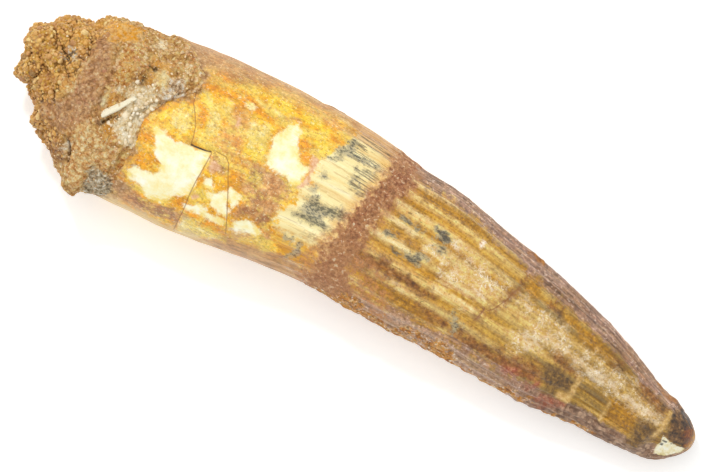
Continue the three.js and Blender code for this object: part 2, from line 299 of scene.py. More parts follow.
# Outlines of the tooth's marks, in the plan. Most are only colour; sandFilm, nodule and cream are relief too.
marks = {
    "cream": [
        [(-38.8, -0.3), (-36.8, -0.1), (-34.8, -0.9), (-32.6, -0.4), (-28.6, 0.3), (-28.5, -7.5),
         (-29.6, -8.2), (-31, -9.4), (-31.6, -10.6), (-34.2, -11.3), (-36.4, -10.2), (-38.8, -10.1),
         (-39.4, -8.6), (-38.6, -7.5), (-35.8, -7.5), (-34.8, -6.6), (-35.2, -5.4), (-36.6, -4.2),
         (-37.6, -2.6)],
        [(-19.4, 10.2), (-19.3, 11.1), (-18.4, 11.7), (-17.4, 11.3), (-16.8, 9.8), (-16.7, 8.6),
         (-15.1, 6.6), (-13.6, 6), (-12.9, 5.9), (-13.1, 3), (-14.2, 2.4), (-15.4, 3.2), (-18.4, 3),
         (-19.7, 3.5), (-20.4, 6.2), (-20.5, 7.9), (-19.9, 9.4)],
        [(-28, -3.4), (-26.2, -3.5), (-25.3, -4.2), (-25.4, -5), (-26.8, -4.9)],
        [(-26.2, -5.7), (-24.4, -4.9), (-23, -4), (-21.6, -6.3), (-21.2, -7.6), (-22.6, -8.1),
         (-24.8, -6.7)],
        [(-22.9, -3.1), (-21, -3.3), (-20.1, -3.9), (-20.8, -5.2), (-21.1, -6.4), (-22.3, -4.4)],
        [(-28.4, -9.2), (-26, -7.9), (-23.6, -8.5), (-21.6, -8.2), (-21, -9.2), (-25, -9.6), (-28.2, -9.8)],
        [(-19.7, -7.8), (-18.2, -6.6), (-16.6, -6.6), (-14.7, -7.4), (-16.6, -8.7), (-19.8, -9.5)],
        [(-14, -2.8), (-11.8, -1.1), (-9.6, -2), (-4.6, -1.7), (-6.6, -2.7), (-9.6, -3.3), (-13.8, -4)],
    ],
    "pale": [
        [(-27.6, -11), (-25, -11.3), (-20.5, -11.3), (-22.6, -12.4), (-24.6, -13.5), (-27.4, -13.8)],
        [(-10.2, 10.3), (-8.2, 11.3), (-5.5, 11.2), (-2.6, 10.6), (-1.9, 7), (-2.7, 4.3), (-4.8, 3.4),
         (-6.4, 2.6), (-8.6, 2.5), (-9.8, 4.4), (-11.6, 5.6), (-11.6, 7.4)],
        [(-13.9, -4.2), (-9, -3.8), (-4.6, -4.1), (-5, -5), (-11.5, -5.2), (-13.6, -5.6)],
        [(-29.6, 11.4), (-28.2, 11.8), (-27.8, 11.1), (-29, 10.8)],
        [(-27, 10.6), (-25.6, 10.9), (-25.8, 10.3), (-27.2, 10.2)],
        [(-8.6, 11.7), (-7.2, 11.8), (-7.3, 13.2), (-8.3, 13.5)],
        [(-6.8, 0.5), (-5.9, 0.6), (-5.7, -0.2), (-6.6, -0.3)],
        [(-17.2, 1.2), (-15.8, 1), (-15.6, 0.3), (-16.8, 0.2)],
    ],
    "butter": [
        [(-32, 8), (-29.8, 6), (-29.4, 3.8), (-30.8, 2.9), (-31.4, 4.6), (-32.8, 7), (-34.6, 9)],
        [(-25.4, 8.6), (-23, 9.2), (-21.2, 8), (-21.6, 5.4), (-23.6, 4.6), (-24.6, 6.4)],
        [(-36.8, 4.6), (-34.8, 4.6), (-33.6, 2.6), (-34.4, 0.8), (-36.6, 1.4), (-37.8, 3)],
        [(-27.6, 11.8), (-24, 12.2), (-20.4, 11.8), (-20.8, 11.3), (-24.4, 11.2), (-27.6, 11.2)],
        [(-38.9, 13.2), (-37.6, 14.1), (-36.6, 14.2), (-37.4, 13.2), (-38.6, 12.6)],
        [(-20.8, -8.6), (-18, -8.4), (-15.4, -7.6), (-13.6, -8.6), (-17, -9.8), (-20.6, -9.8)],
    ],
    "yellow": [
        [(-41.4, 2), (-38.4, 4), (-36.4, 5.5), (-34.6, 5.2), (-33, 3), (-32.4, 0.6), (-34.5, -0.5),
         (-38.4, 0.4), (-40.6, 0.6)],
        [(-36, 9.2), (-33.4, 9.4), (-31, 7.2), (-29.3, 5), (-29.4, 3.4), (-31, 2.6), (-32.2, 4.6),
         (-33.6, 6.6), (-35.6, 7.8)],
        [(-31, 12.4), (-25.6, 12.9), (-22, 12), (-17.6, 12.6), (-13, 12.6), (-12.6, 13.6), (-19, 14.2),
         (-28, 13.7)],
        [(-28.2, -2.5), (-25.6, -2.8), (-24.9, -4.4), (-26, -4.4), (-28.1, -3.6)],
        [(-27.9, -5.1), (-25.6, -5.6), (-24.6, -7.4), (-25.6, -7.9), (-27.6, -7.2)],
        [(-24.6, 9.6), (-21, 9.4), (-20.6, 5), (-21.4, 2.6), (-24, 2.8), (-24.4, 6)],
        [(-16.8, 11.2), (-15.6, 11.2), (-15.7, 10.3), (-16.8, 10.3)],
        [(-14.6, 12), (-11.2, 11), (-10.8, 9.8), (-12.4, 9.2), (-14.8, 10.4)],
    ],
    "orange": [
        [(-38, 4.1), (-41.6, 3), (-41.9, -2.2), (-40.4, -3.2), (-37.8, -4.3), (-38.8, -1.2), (-40.3, 0.6),
         (-39.2, 3)],
        [(-40.2, -5.1), (-37, -4.9), (-35.1, -5.6), (-34.9, -6.7), (-36.4, -7.2), (-39.8, -7)],
        [(-37, 13.2), (-33, 13.9), (-30.6, 13.4), (-32, 12.2), (-35.8, 11.6)],
        [(-37.2, 10.4), (-33, 11.2), (-28.4, 12.2), (-24, 11), (-20.4, 11.1), (-20, 10.1), (-25, 9.7),
         (-31, 9.9), (-35.4, 9.4)],
        [(-34.8, 7.8), (-33, 6.8), (-31.7, 5.6), (-31.9, 3.6), (-32.8, 4.6), (-34, 5.9)],
        [(-27.5, -9.9), (-23.6, -9.1), (-20.2, -9.8), (-20.1, -10.5), (-23.8, -11), (-27, -10.7)],
        [(-30.9, -9), (-28.6, -7.7), (-27.6, -8.4), (-28.4, -10.1), (-30.8, -10.4)],
        [(-13.5, -5.7), (-11, -5.4), (-9.3, -6.2), (-9.9, -7.5), (-12.2, -7.8), (-13.8, -7)],
        [(-24.7, 0.5), (-23.3, -0.2), (-22.4, -2.4), (-21.5, -2.9), (-23.2, -2.9), (-24.2, -1)],
        [(-17, 9.7), (-14.6, 10.2), (-12.4, 8.8), (-12.6, 6.6), (-14, 6.4), (-15.6, 7.6)],
        [(-18.2, -3.2), (-16.4, -2.6), (-15.6, -4.2), (-17, -5.6), (-18.4, -4.9)],
        [(-41.2, -9), (-39.6, -8.6), (-38.6, -10.4), (-33.6, -12), (-34.2, -12.8), (-41.2, -11.4)],
        [(-5, 4.6), (-2.4, 5.6), (-2.2, 3.4), (-4.4, 3)],
    ],
    "tan": [
        [(-29.4, 9.4), (-26.4, 9.6), (-24.8, 7.6), (-24.5, 3.8), (-23.4, 2.6), (-25, 1.3), (-28.2, 1.2),
         (-29.3, 2.6), (-28.6, 5), (-28.4, 7.2)],
        [(-24.5, 0.9), (-22.6, 0.4), (-20.6, -0.6), (-21.6, -2), (-23.2, -0.9)],
        [(-20, 14.9), (-14, 15.3), (-8.6, 14.8), (-9.2, 13.6), (-14.2, 14.3)],
    ],
    "rust": [
        [(-24.2, 2.4), (-21.4, 2.5), (-20, 3), (-17.6, 2.8), (-15.4, 2.8), (-13.4, 2.4), (-12.6, 1),
         (-14.1, -0.8), (-13.8, -2.2), (-14.3, -4), (-14.8, -5.8), (-16.6, -6.3), (-18.2, -6.1),
         (-19.5, -7.4), (-20.9, -6.5), (-20.1, -4.6), (-19.9, -3.6), (-21.4, -2.8), (-21, -1), (-20.2, 0.6),
         (-22, 1.2)],
        [(-28.4, 0.7), (-26.2, 1), (-25.2, -0.2), (-24.9, -1.6), (-26.2, -2.3), (-28.2, -2.4)],
        [(-21.6, 10.8), (-19.6, 11.1), (-19, 12.2), (-17.8, 12.2), (-18.8, 12.7), (-20.6, 11.5)],
        [(-41.4, -10.6), (-37.2, -10.7), (-34.4, -12), (-31.8, -11.2), (-29.6, -10.6), (-27.5, -10.6),
         (-27.6, -12.3), (-31, -13.4), (-36, -14.1), (-41.4, -14.2)],
        [(-14.9, -5.8), (-13, -6.4), (-12.9, -8.4), (-14.6, -8.8), (-15.8, -7)],
    ],
    "darkRust": [
        [(-16.7, -5.9), (-15.9, -4.2), (-15.4, -3), (-14.4, -3.2), (-14.3, -4.8), (-15.4, -6)],
        [(-20.8, 1.6), (-19.4, 1.9), (-18.8, 0.8), (-20, -0.6), (-21, 0.4)],
        [(-18.6, -1.6), (-17, -1.8), (-17, -3), (-18.6, -3.2)],
        [(-19.6, -4.6), (-18, -4.8), (-18.6, -6.2), (-20.2, -6.2)],
        [(-15.9, 2.6), (-13.6, 2.2), (-14, 1), (-15.6, 1.4)],
        [(-36, -12.2), (-32.4, -12.3), (-29.2, -11.2), (-28.2, -12), (-31.6, -13), (-36.4, -13.4)],
    ],
    "pink": [
        [(-13, 8.2), (-12.1, 8.4), (-11.6, 7.2), (-11.9, 5.2), (-11.3, 3.6), (-12.2, 2.5), (-13.5, 2.2),
         (-12.8, 3.6), (-12.6, 5.4), (-13.1, 6.8)],
        [(-27.6, -0.8), (-26.6, -0.4), (-25.9, -1.4), (-26.6, -2.4), (-27.6, -2.3)],
        [(-27.9, -6.9), (-26.9, -6.8), (-26.9, -7.4), (-27.9, -7.6)],
        [(-27.6, 7.6), (-26.9, 7.8), (-26.6, 6.6), (-27.2, 6.4)],
    ],
    "nodule": [
        [(26, 12.8), (29.6, 12.2), (29.4, 11), (26.4, 11.6)],
        [(56, 4.2), (59.6, 2.6), (62.4, 1.4), (62, 0.4), (59, 1.6), (56, 3)],
    ],
    "sandFilm": [
        [(-43, 15.6), (-39.6, 14.8), (-37, 13.4), (-35.6, 12), (-35, 10), (-35.4, 7.8), (-36.8, 6.4),
         (-38.6, 5.4), (-41, 4.4), (-44, 4)],
        [(-44, -4), (-39.6, -4.4), (-39.2, -6), (-40.2, -8), (-39.8, -10.2), (-37.8, -11.4), (-38.4, -13.2),
         (-44, -14.4)],
    ],
    "gold": [
        [(-14.4, -5.2), (-9.6, -5.4), (-4.4, -5), (-3, -6.4), (-3.4, -9), (-12, -9.4)],
    ],
    "hatch": [
        [(-9.4, 15.6), (-1.2, 15.8), (-1.4, 11.2), (-8.2, 10.9)],
        [(-6.4, 10.8), (-2, 10.6), (-2.2, 6.2), (-5.4, 6.2), (-5.8, 8.4)],
    ],
    "grey": [
        [(-11.3, 4), (-10.2, 4.1), (-9.3, 2.6), (-8.2, 2.1), (-6.2, 2.2), (-5.2, 3.1), (-3.5, 2.6),
         (-3, 1.4), (-4.6, 0.8), (-6.6, 0.7), (-7, -0.1), (-5.4, -0.7), (-4.3, -0.7), (-4.5, -1.5),
         (-6.3, -1.9), (-11.6, -2.1), (-11.6, -1.4), (-10.4, -0.8), (-11.2, 0.2), (-10.7, 1.4),
         (-10.3, 2.6)],
        [(-10.8, 9.3), (-9.3, 9.6), (-8.6, 11.2), (-6.4, 12.2), (-2.3, 12), (-2.5, 11.5), (-7.8, 11.3),
         (-7.5, 12.6), (-8, 13.8), (-8.9, 14.4), (-9.7, 12.4), (-10.3, 10.8)],
        [(-6.1, 10.2), (-3.2, 10.1), (-3.4, 9.8), (-6, 9.8)],
        [(-5.8, 9.6), (-4.2, 9.6), (-4.2, 9.3), (-5.6, 9.3)],
        [(-5.6, 8.6), (-4.5, 8.5), (-4.6, 8.2), (-5.6, 8.2)],
        [(-6.2, 7.7), (-2.2, 7.6), (-2.2, 7.3), (-6, 7.3)],
        [(-4.6, 7), (-2.1, 6.8), (-2.2, 6.1), (-5.2, 6.1), (-4.4, 6.6)],
        [(-10.8, 6.6), (-9.6, 6.8), (-9.5, 5.9), (-10.6, 5.6)],
        [(-11.4, -5.6), (-9.8, -5.6), (-9.7, -6.2), (-11.2, -6.3)],
        [(-8.9, -5.3), (-7.6, -5.6), (-7.3, -6.8), (-7.6, -8), (-9, -8.3), (-8.4, -6.9)],
        [(-8.8, -3.3), (-6.6, -3.1), (-6.6, -3.4), (-8.8, -3.5)],
        [(10.2, 7.8), (12.2, 7.8), (13.6, 7.3), (14.4, 6.9), (13.2, 6.4), (11.5, 6.2), (11, 6.9)],
        [(11.8, 5.1), (13.2, 5.7), (14.4, 5), (12.6, 4.5)],
        [(8, 1.2), (9.8, 2.7), (11.2, 2.8), (12.4, 2.3), (11.2, 1.6), (10.4, 0.7), (9.2, 0.4)],
        [(4.2, 6.7), (8.9, 6.3), (8.9, 6), (5, 6.2)], [(3.2, 3.5), (5.2, 3.3), (4.9, 2.8), (3.2, 2.9)],
        [(19.8, -2.8), (21, -4), (22.4, -4.4), (22.2, -5), (21.4, -6.4), (20.8, -5.4), (20, -4.4)],
        [(-44.8, -11.6), (-42.4, -11.4), (-40.9, -12.4), (-40.6, -14.6), (-42, -15.6), (-45, -15.6)],
    ],
    "soot": [
        [(10.6, 7.7), (12.4, 7.6), (13.6, 7.1), (13.2, 6.4), (11.8, 6.4), (11.2, 7)],
        [(12.2, 5.2), (13.2, 5.5), (14, 5), (12.8, 4.7)],
        [(8.4, 1.2), (9.4, 1.5), (10.2, 1.9), (10.8, 1.5), (10, 0.7), (9, 0.6)],
        [(5.6, 1.3), (7.6, 1.2), (7.4, 0.9), (5.6, 1)], [(4.4, 6.6), (8.4, 6.3), (8.4, 6.1), (5, 6.3)],
        [(3.4, 3.3), (5, 3.2), (4.8, 3), (3.4, 3)],
    ],
    # pale stripes along the flute crests of the crown: painted highlights
    "straw": [
        [(2.8, 8.7), (6, 8.8), (9.6, 8.3), (9.4, 7.9), (5.6, 8.1), (3, 8)],
        [(3.4, 13.4), (8, 13), (12, 12.6), (11.8, 12.2), (6, 12.4), (3.2, 12.8)],
        [(1.8, 5.7), (8.4, 5.5), (8.2, 4.9), (1.8, 5)], [(1.6, 2.8), (7.4, 2.7), (8, 2), (1.6, 2)],
        [(14.6, 1.4), (23, 1), (23, 0.2), (15, 0.2)], [(14.4, -0.8), (23, -0.9), (22.6, -1.8), (15, -1.8)],
        [(10, 4.2), (15, 4), (15, 3.4), (10.4, 3.4)], [(6, -3.9), (9.4, -3.7), (12, -4.1), (9, -4.3)],
    ],
    "frost": [
        [(18.1, 9), (18.5, 9.8), (18.9, 9.9), (19.1, 9.2), (18.9, 8.4), (18.5, 8.2)],
    ],
    "ochre": [
        [(6, 12.3), (10, 12.2), (15, 12), (19.4, 11), (19.4, 10.3), (15, 10.1), (9, 10.2), (5, 10.6),
         (4.8, 11.3)],
        [(2.4, 9.9), (8.6, 9.2), (9.4, 8.6), (5, 8.9), (2.6, 9.3)],
        [(2, 7.4), (10.4, 7), (10.6, 6.6), (4, 6.9), (2, 6.9)],
        [(3, 4.4), (9.4, 4.6), (9.4, 3.4), (5.4, 3.7), (3.2, 3.9)],
        [(12.6, 1.6), (14.6, 1.4), (14.4, 0.2), (12.8, 0.3)],
        [(3.6, -4.4), (12, -4.5), (19, -5.6), (19.6, -7.4), (12, -7.6), (4.6, -6.8)],
        [(28, 8.4), (30, 9), (31.6, 7.8), (31, 5.6), (28.2, 5.4)],
        [(35, 5.6), (38, 5.9), (42.6, 4.7), (46.8, 3.2), (47.2, 1.8), (43.6, 2.6), (39, 4.2), (36.6, 4.7)],
        [(50.4, -3), (55.6, -2.5), (55.9, -7), (50.5, -7.1)],
        [(-7.4, -7.4), (-3, -6.8), (-3, -7.8), (-7, -8.4)],
        [(34, 7.2), (44, 5.8), (44, 5.1), (38, 5.9), (34, 6.2)],
    ],
    "brown": [
        [(-1, -1.7), (3, -1.3), (5.6, -0.9), (9, -1.4), (14.4, -2), (16.2, -2.7), (13.4, -3.4), (9.6, -3.4),
         (5, -3.6), (2.6, -4.5), (-1, -4.8)],
        [(14, -5.1), (22, -5.2), (30, -5.4), (32, -4.8), (36.4, -5), (38, -7.2), (30, -8), (21.4, -7.6),
         (20.2, -6.6), (14, -5.8)],
        [(30.2, -4.6), (33, -4.9), (35, -4.2), (38.2, -4.6), (38.6, -6.8), (34, -7.4), (30.2, -6.6)],
        [(37.6, -0.7), (41, -0.7), (43.4, -1.3), (43.6, -2.8), (40.4, -2.6), (38.4, -2.6)],
        [(33.2, 6.3), (35, 6.2), (35.4, 5.4), (33.6, 5.2)],
        [(27.6, 8.4), (28.2, 8.5), (28.3, 5.4), (27.6, 5.6), (27.2, 3.4), (26.4, 4), (27.4, 6.4)],
        [(47.4, 3), (49.2, 3.2), (49.6, 1.7), (47.9, 1.5)],
        [(52.4, 1.6), (54.2, 2.4), (57.4, 1.6), (59.4, 0.5), (60, -0.7), (57.6, -1.1), (54.4, -0.1)],
    ],
    "dark": [
        [(37.8, -3.3), (39.6, -2.4), (41.4, -3.2), (43.4, -3.7), (43.4, -5.4), (41.7, -6), (41.3, -7.3),
         (39.7, -7), (38.4, -6), (37.9, -4.6)],
        [(55.7, -4.2), (57.4, -3.2), (59.2, -3.7), (59.3, -7), (57.4, -8.8), (55.8, -8.2), (56.2, -6.2)],
        [(34.8, 5.6), (36.8, 5), (36.8, 4.3), (35.2, 4.4)],
        [(48.6, 2.7), (49.7, 2.3), (49.6, 1.6), (48.7, 1.8)],
        [(57.9, 0.9), (59, 0.3), (59, -0.5), (58, -0.1)],
    ],
    "tipDark": [
        [(60.3, 1.8), (62.4, 1.2), (64.6, -0.2), (65.8, -2), (65.4, -4.5), (63, -4.6), (61.2, -4.2),
         (60.9, -2.2)],
    ],
    "ember": [
        [(63.6, -1.2), (64.8, -0.9), (66, -2.6), (65.6, -4.4), (64.8, -3.4), (63.8, -2.8)],
    ],
    "amberRim": [
        [(65, -0.4), (66.6, -1.8), (66.8, -4), (65.6, -4.6), (65.4, -3), (65.2, -1.8)],
    ],
    "red": [
        [(32, -6.6), (33.8, -6.2), (34.4, -7.2), (33, -7.8), (32, -7.4)],
        [(36, -7.5), (38.6, -6.4), (38.6, -6.9), (36.4, -8)],
        [(39.4, -8), (43.6, -7.7), (43.6, -8.1), (39.6, -8.5)],
        [(39, -9), (42.2, -8.9), (41, -9.5), (39.4, -9.6)],
    ],
    "flecks": [
        [(61.1, -4.9), (62, -4.8), (62, -5.1), (61.2, -5.2)],
        [(61.2, -5.4), (61.7, -5.3), (61.6, -5.8), (61.1, -5.8)],
        [(62.6, -4.7), (63, -4.7), (63, -4.9), (62.6, -4.9)],
    ],
    "white": [
        [(60.9, -4.2), (61.8, -4.5), (63.2, -4.7), (65.2, -4.5), (64.8, -5.4), (63.4, -6.6), (62, -7.4),
         (60.9, -7.7), (60.7, -6.6), (61.1, -5.4)],
    ],
    "buff": [
        [(59.7, -0.2), (60.4, 0), (60.8, -3.2), (60.3, -5.8), (59.5, -5.8), (59.8, -3)],
        [(43.5, -2.3), (44.1, -2.5), (44.4, -6.6), (43.9, -7.4), (41.6, -7.6), (41.8, -6.2), (43.4, -6)],
        [(50, -3.4), (50.6, -3.6), (50.6, -7.4), (50, -7.3)],
    ],
    # the bright ridge along the middle of the crown: painted sheen
    "paintedShine": [
        [(28.4, 5), (31, 4.4), (31, 3.2), (28.6, 3.6)],
        [(35.5, 1.4), (40, 0.8), (43.4, 0.4), (43.4, -0.5), (39, -0.3), (35.8, 0.2)],
        [(44.2, -0.2), (47, 0.2), (50, -0.2), (50.2, -1.4), (47, -1.8), (44.4, -1.6)],
        [(50.4, -1.2), (54, -1), (59, -2.2), (59.2, -3.4), (54.4, -3), (50.8, -2.4)],
        [(32.2, 0.2), (35.4, 0), (35.8, -2.4), (33.4, -2.8), (32, -1.2)],
        [(16.2, 3.3), (18.6, 3.2), (18.8, 2.6), (16.4, 2.4)],
        [(20.8, 2.2), (23.6, 1.6), (23.4, 1), (21, 1.4)], [(14, 7.1), (16, 6.8), (15.8, 6.2), (14.2, 6.4)],
        [(17.4, 6.2), (20, 5.8), (19.8, 5.3), (17.6, 5.7)],
    ],
    # patches where light would catch on the pitted gloss of the crown: painted highlights
    "paintedGlint": [
        [(13.8, 7.2), (16.4, 6.8), (20, 5.9), (25.8, 4.8), (26.8, 2.4), (24.8, 1), (20, 1.3), (16, 1.6),
         (12.6, 2.8), (10.4, 3.6), (11.4, 4.4), (14.4, 4.2)],
        [(27.2, 4.8), (34, 4.2), (40, 2.4), (46, 1.6), (52, 0.6), (59, -1.6), (58.6, -3.6), (54, -3.2),
         (50, -2.4), (44, -1.8), (40, -0.8), (36, -1), (33.4, -3), (31.8, -5.2), (30.4, -3.4), (31.4, 0.6)],
    ],
}
cracks = [
    # how plainly it shows, and its line
    (1, [(-36.6, 10.4), (-36, 9.2), (-35.2, 6.4), (-33.9, 4.6), (-32.9, 2.8), (-32.4, 1.2), (-32.3, 0.3),
         (-31.6, 0), (-30.3, 0.2), (-28.5, 0.6)]),
    (1, [(-28.45, 0.4), (-28.45, -2.4), (-28.5, -5), (-28.4, -7.2), (-28.1, -9.4), (-27.9, -13.6)]),
    (1, [(-28.4, 1.1), (-26, 1.1), (-25.1, 0.3), (-24.4, -1.2), (-23.2, -3.4), (-22, -5.8), (-21, -7.8),
         (-20, -10)]),
    (1, [(27.4, 5.4), (26.6, 2.6), (25.4, 0.3), (24.9, 0)]),
    (0.45, [(16.6, 6.2), (16.1, 4.6), (15.4, 2.8), (14.6, 0.6)]),
    (1, [(24.2, -0.2), (24, -1.4), (23.6, -2.6)]),
]
gapAt = [(-32.2, -0.05), (-31.0, 0.12), (-28.5, 0.62)]  # the stretch of the first crack that stands open
neckEdge = [
    (-14, -5.4), (-9, -9.6), (-7, -11.8), (-5, -13.6), (-2, -14.0), (0, -12.2), (2.4, -12.4), (4, -11.4),
    (6, -12.2), (8, -11.9), (10, -10.8), (12, -9.6), (15, -8.6), (18, -8.4),
]  # y, where the enamel of the crown begins
bandEdges = [
    (-13, -5.0, 4.6), (-9, -4.6, 3.4), (-7, -4.4, 2.4), (-5, -4.2, 1.6), (-3, -4.0, 1.0), (-1, -3.6, 1.1),
    (1, -3.2, 1.2), (3, -3.1, 1.3), (5, -2.4, 1.5), (7, -2.0, 2.5), (9, -1.7, 2.8), (11, -1.2, 3.8),
    (13, -0.9, 3.4), (15, -1.1, 3.2), (18, -1.4, 3.4),
]  # y, left and right edge of the sandy band round the neck


def underPlan(x, y, middle, onRoot):
    # the plan that the marks of the underside are taken from: turned over and shifted
    return np.where(onRoot, -55 - x, 6 + 0.88 * x), 2 * middle - y


def fluteCrest(angle):
    # 1 on the narrow crests of the flutes, 0 in the wide grooves
    return (0.5 + 0.5 * np.cos(form["flutes"] * angle)) ** 1.5


tooth = {
    "columns": 320, "cuts": 16,
    "start": -43.5, "inset": 0.6, "settle": 10,  # the first rings follow the broken edge
    "fluteDepth": 0.42, "fluteFrom": -15, "fluteFull": -6, "fluteFade": 50, "fluteEnd": 60,
    # each kind of unevenness: its height and the size of its features
    "striae": (0.05, 0.8), "rootWaves": (0.22, 7), "rootGrain": (0.06, 1.6), "sand": (0.16, 0.9),
    "mauveRough": (0.13, 1.7), "pebbles": (0.16, 1.0), "nodules": (0.24, 1.6), "crust": (0.55, 3.2),
    "bandHeight": 0.30,
    # places along the tooth, with the crust's width there, or how far up the sides a strip begins
    "crustWide": ([-3, 3, 22, 30, 38, 48], [0, 1.0, 0.85, 0.6, 0.4, 0]),
    "barkFrom": ([-42, -32, -24], [0.71, 0.76, 0.90]),
    "upperFrom": ([2, 18, 32, 60], [0.84, 0.84, 0.68, 0.66]),
    "lowerFrom": ([2, 12, 30, 60], [0.80, 0.73, 0.70, 0.62]),
    "creamSunk": 0.10,  # where the bark has flaked off the root
    "sideWorn": 0.20,  # off the long sides of the crown
    # x, height and half width of each ridge round the crown
    "ridges": [(60.0, 0.28, 0.45), (50.4, 0.08, 0.35), (43.8, 0.10, 0.35), (27.0, 0.06, 0.5)],
    "breakRound": (1.0, 0.4),  # how far the broken edge is sunk, and how much less where it's bare
    "crackDepth": 0.07, "crackWide": 0.25, "crackStep": 0.12, "gapDepth": 0.5, "gapWide": 0.28,
    "chipAt": (62.4, -5.9, 9.1), "chipNormal": (0.36, -0.5, 0.79), "chipDepth": 0.5,
}


def crackFields(x, y, otherX, otherY, upper):
    # signed distance from the nearest crack, how plainly it shows here, and the stretch that stands open
    crackSide = np.full(len(x), 3.0)
    crackNear = np.zeros(len(x))
    for plain, line in cracks:
        for lineX, lineY, share in ((x, y, upper), (otherX, otherY, 1 - upper)):
            side, past = besideLine(line, lineX, lineY)
            near = share * (1 - smooth(0.0, 0.5, past))
            closer = (np.abs(side) < np.abs(crackSide)) & (near > 0.4)
            crackSide = np.where(closer, side, crackSide)
            crackNear = np.where(closer, near * plain, crackNear)
    gapSide, gapPast = besideLine(gapAt, x, y)
    gap = upper * (1 - smooth(0.0, 0.4, gapPast)) * np.exp(-(gapSide / tooth["gapWide"]) ** 2)
    return crackSide, crackNear, gap


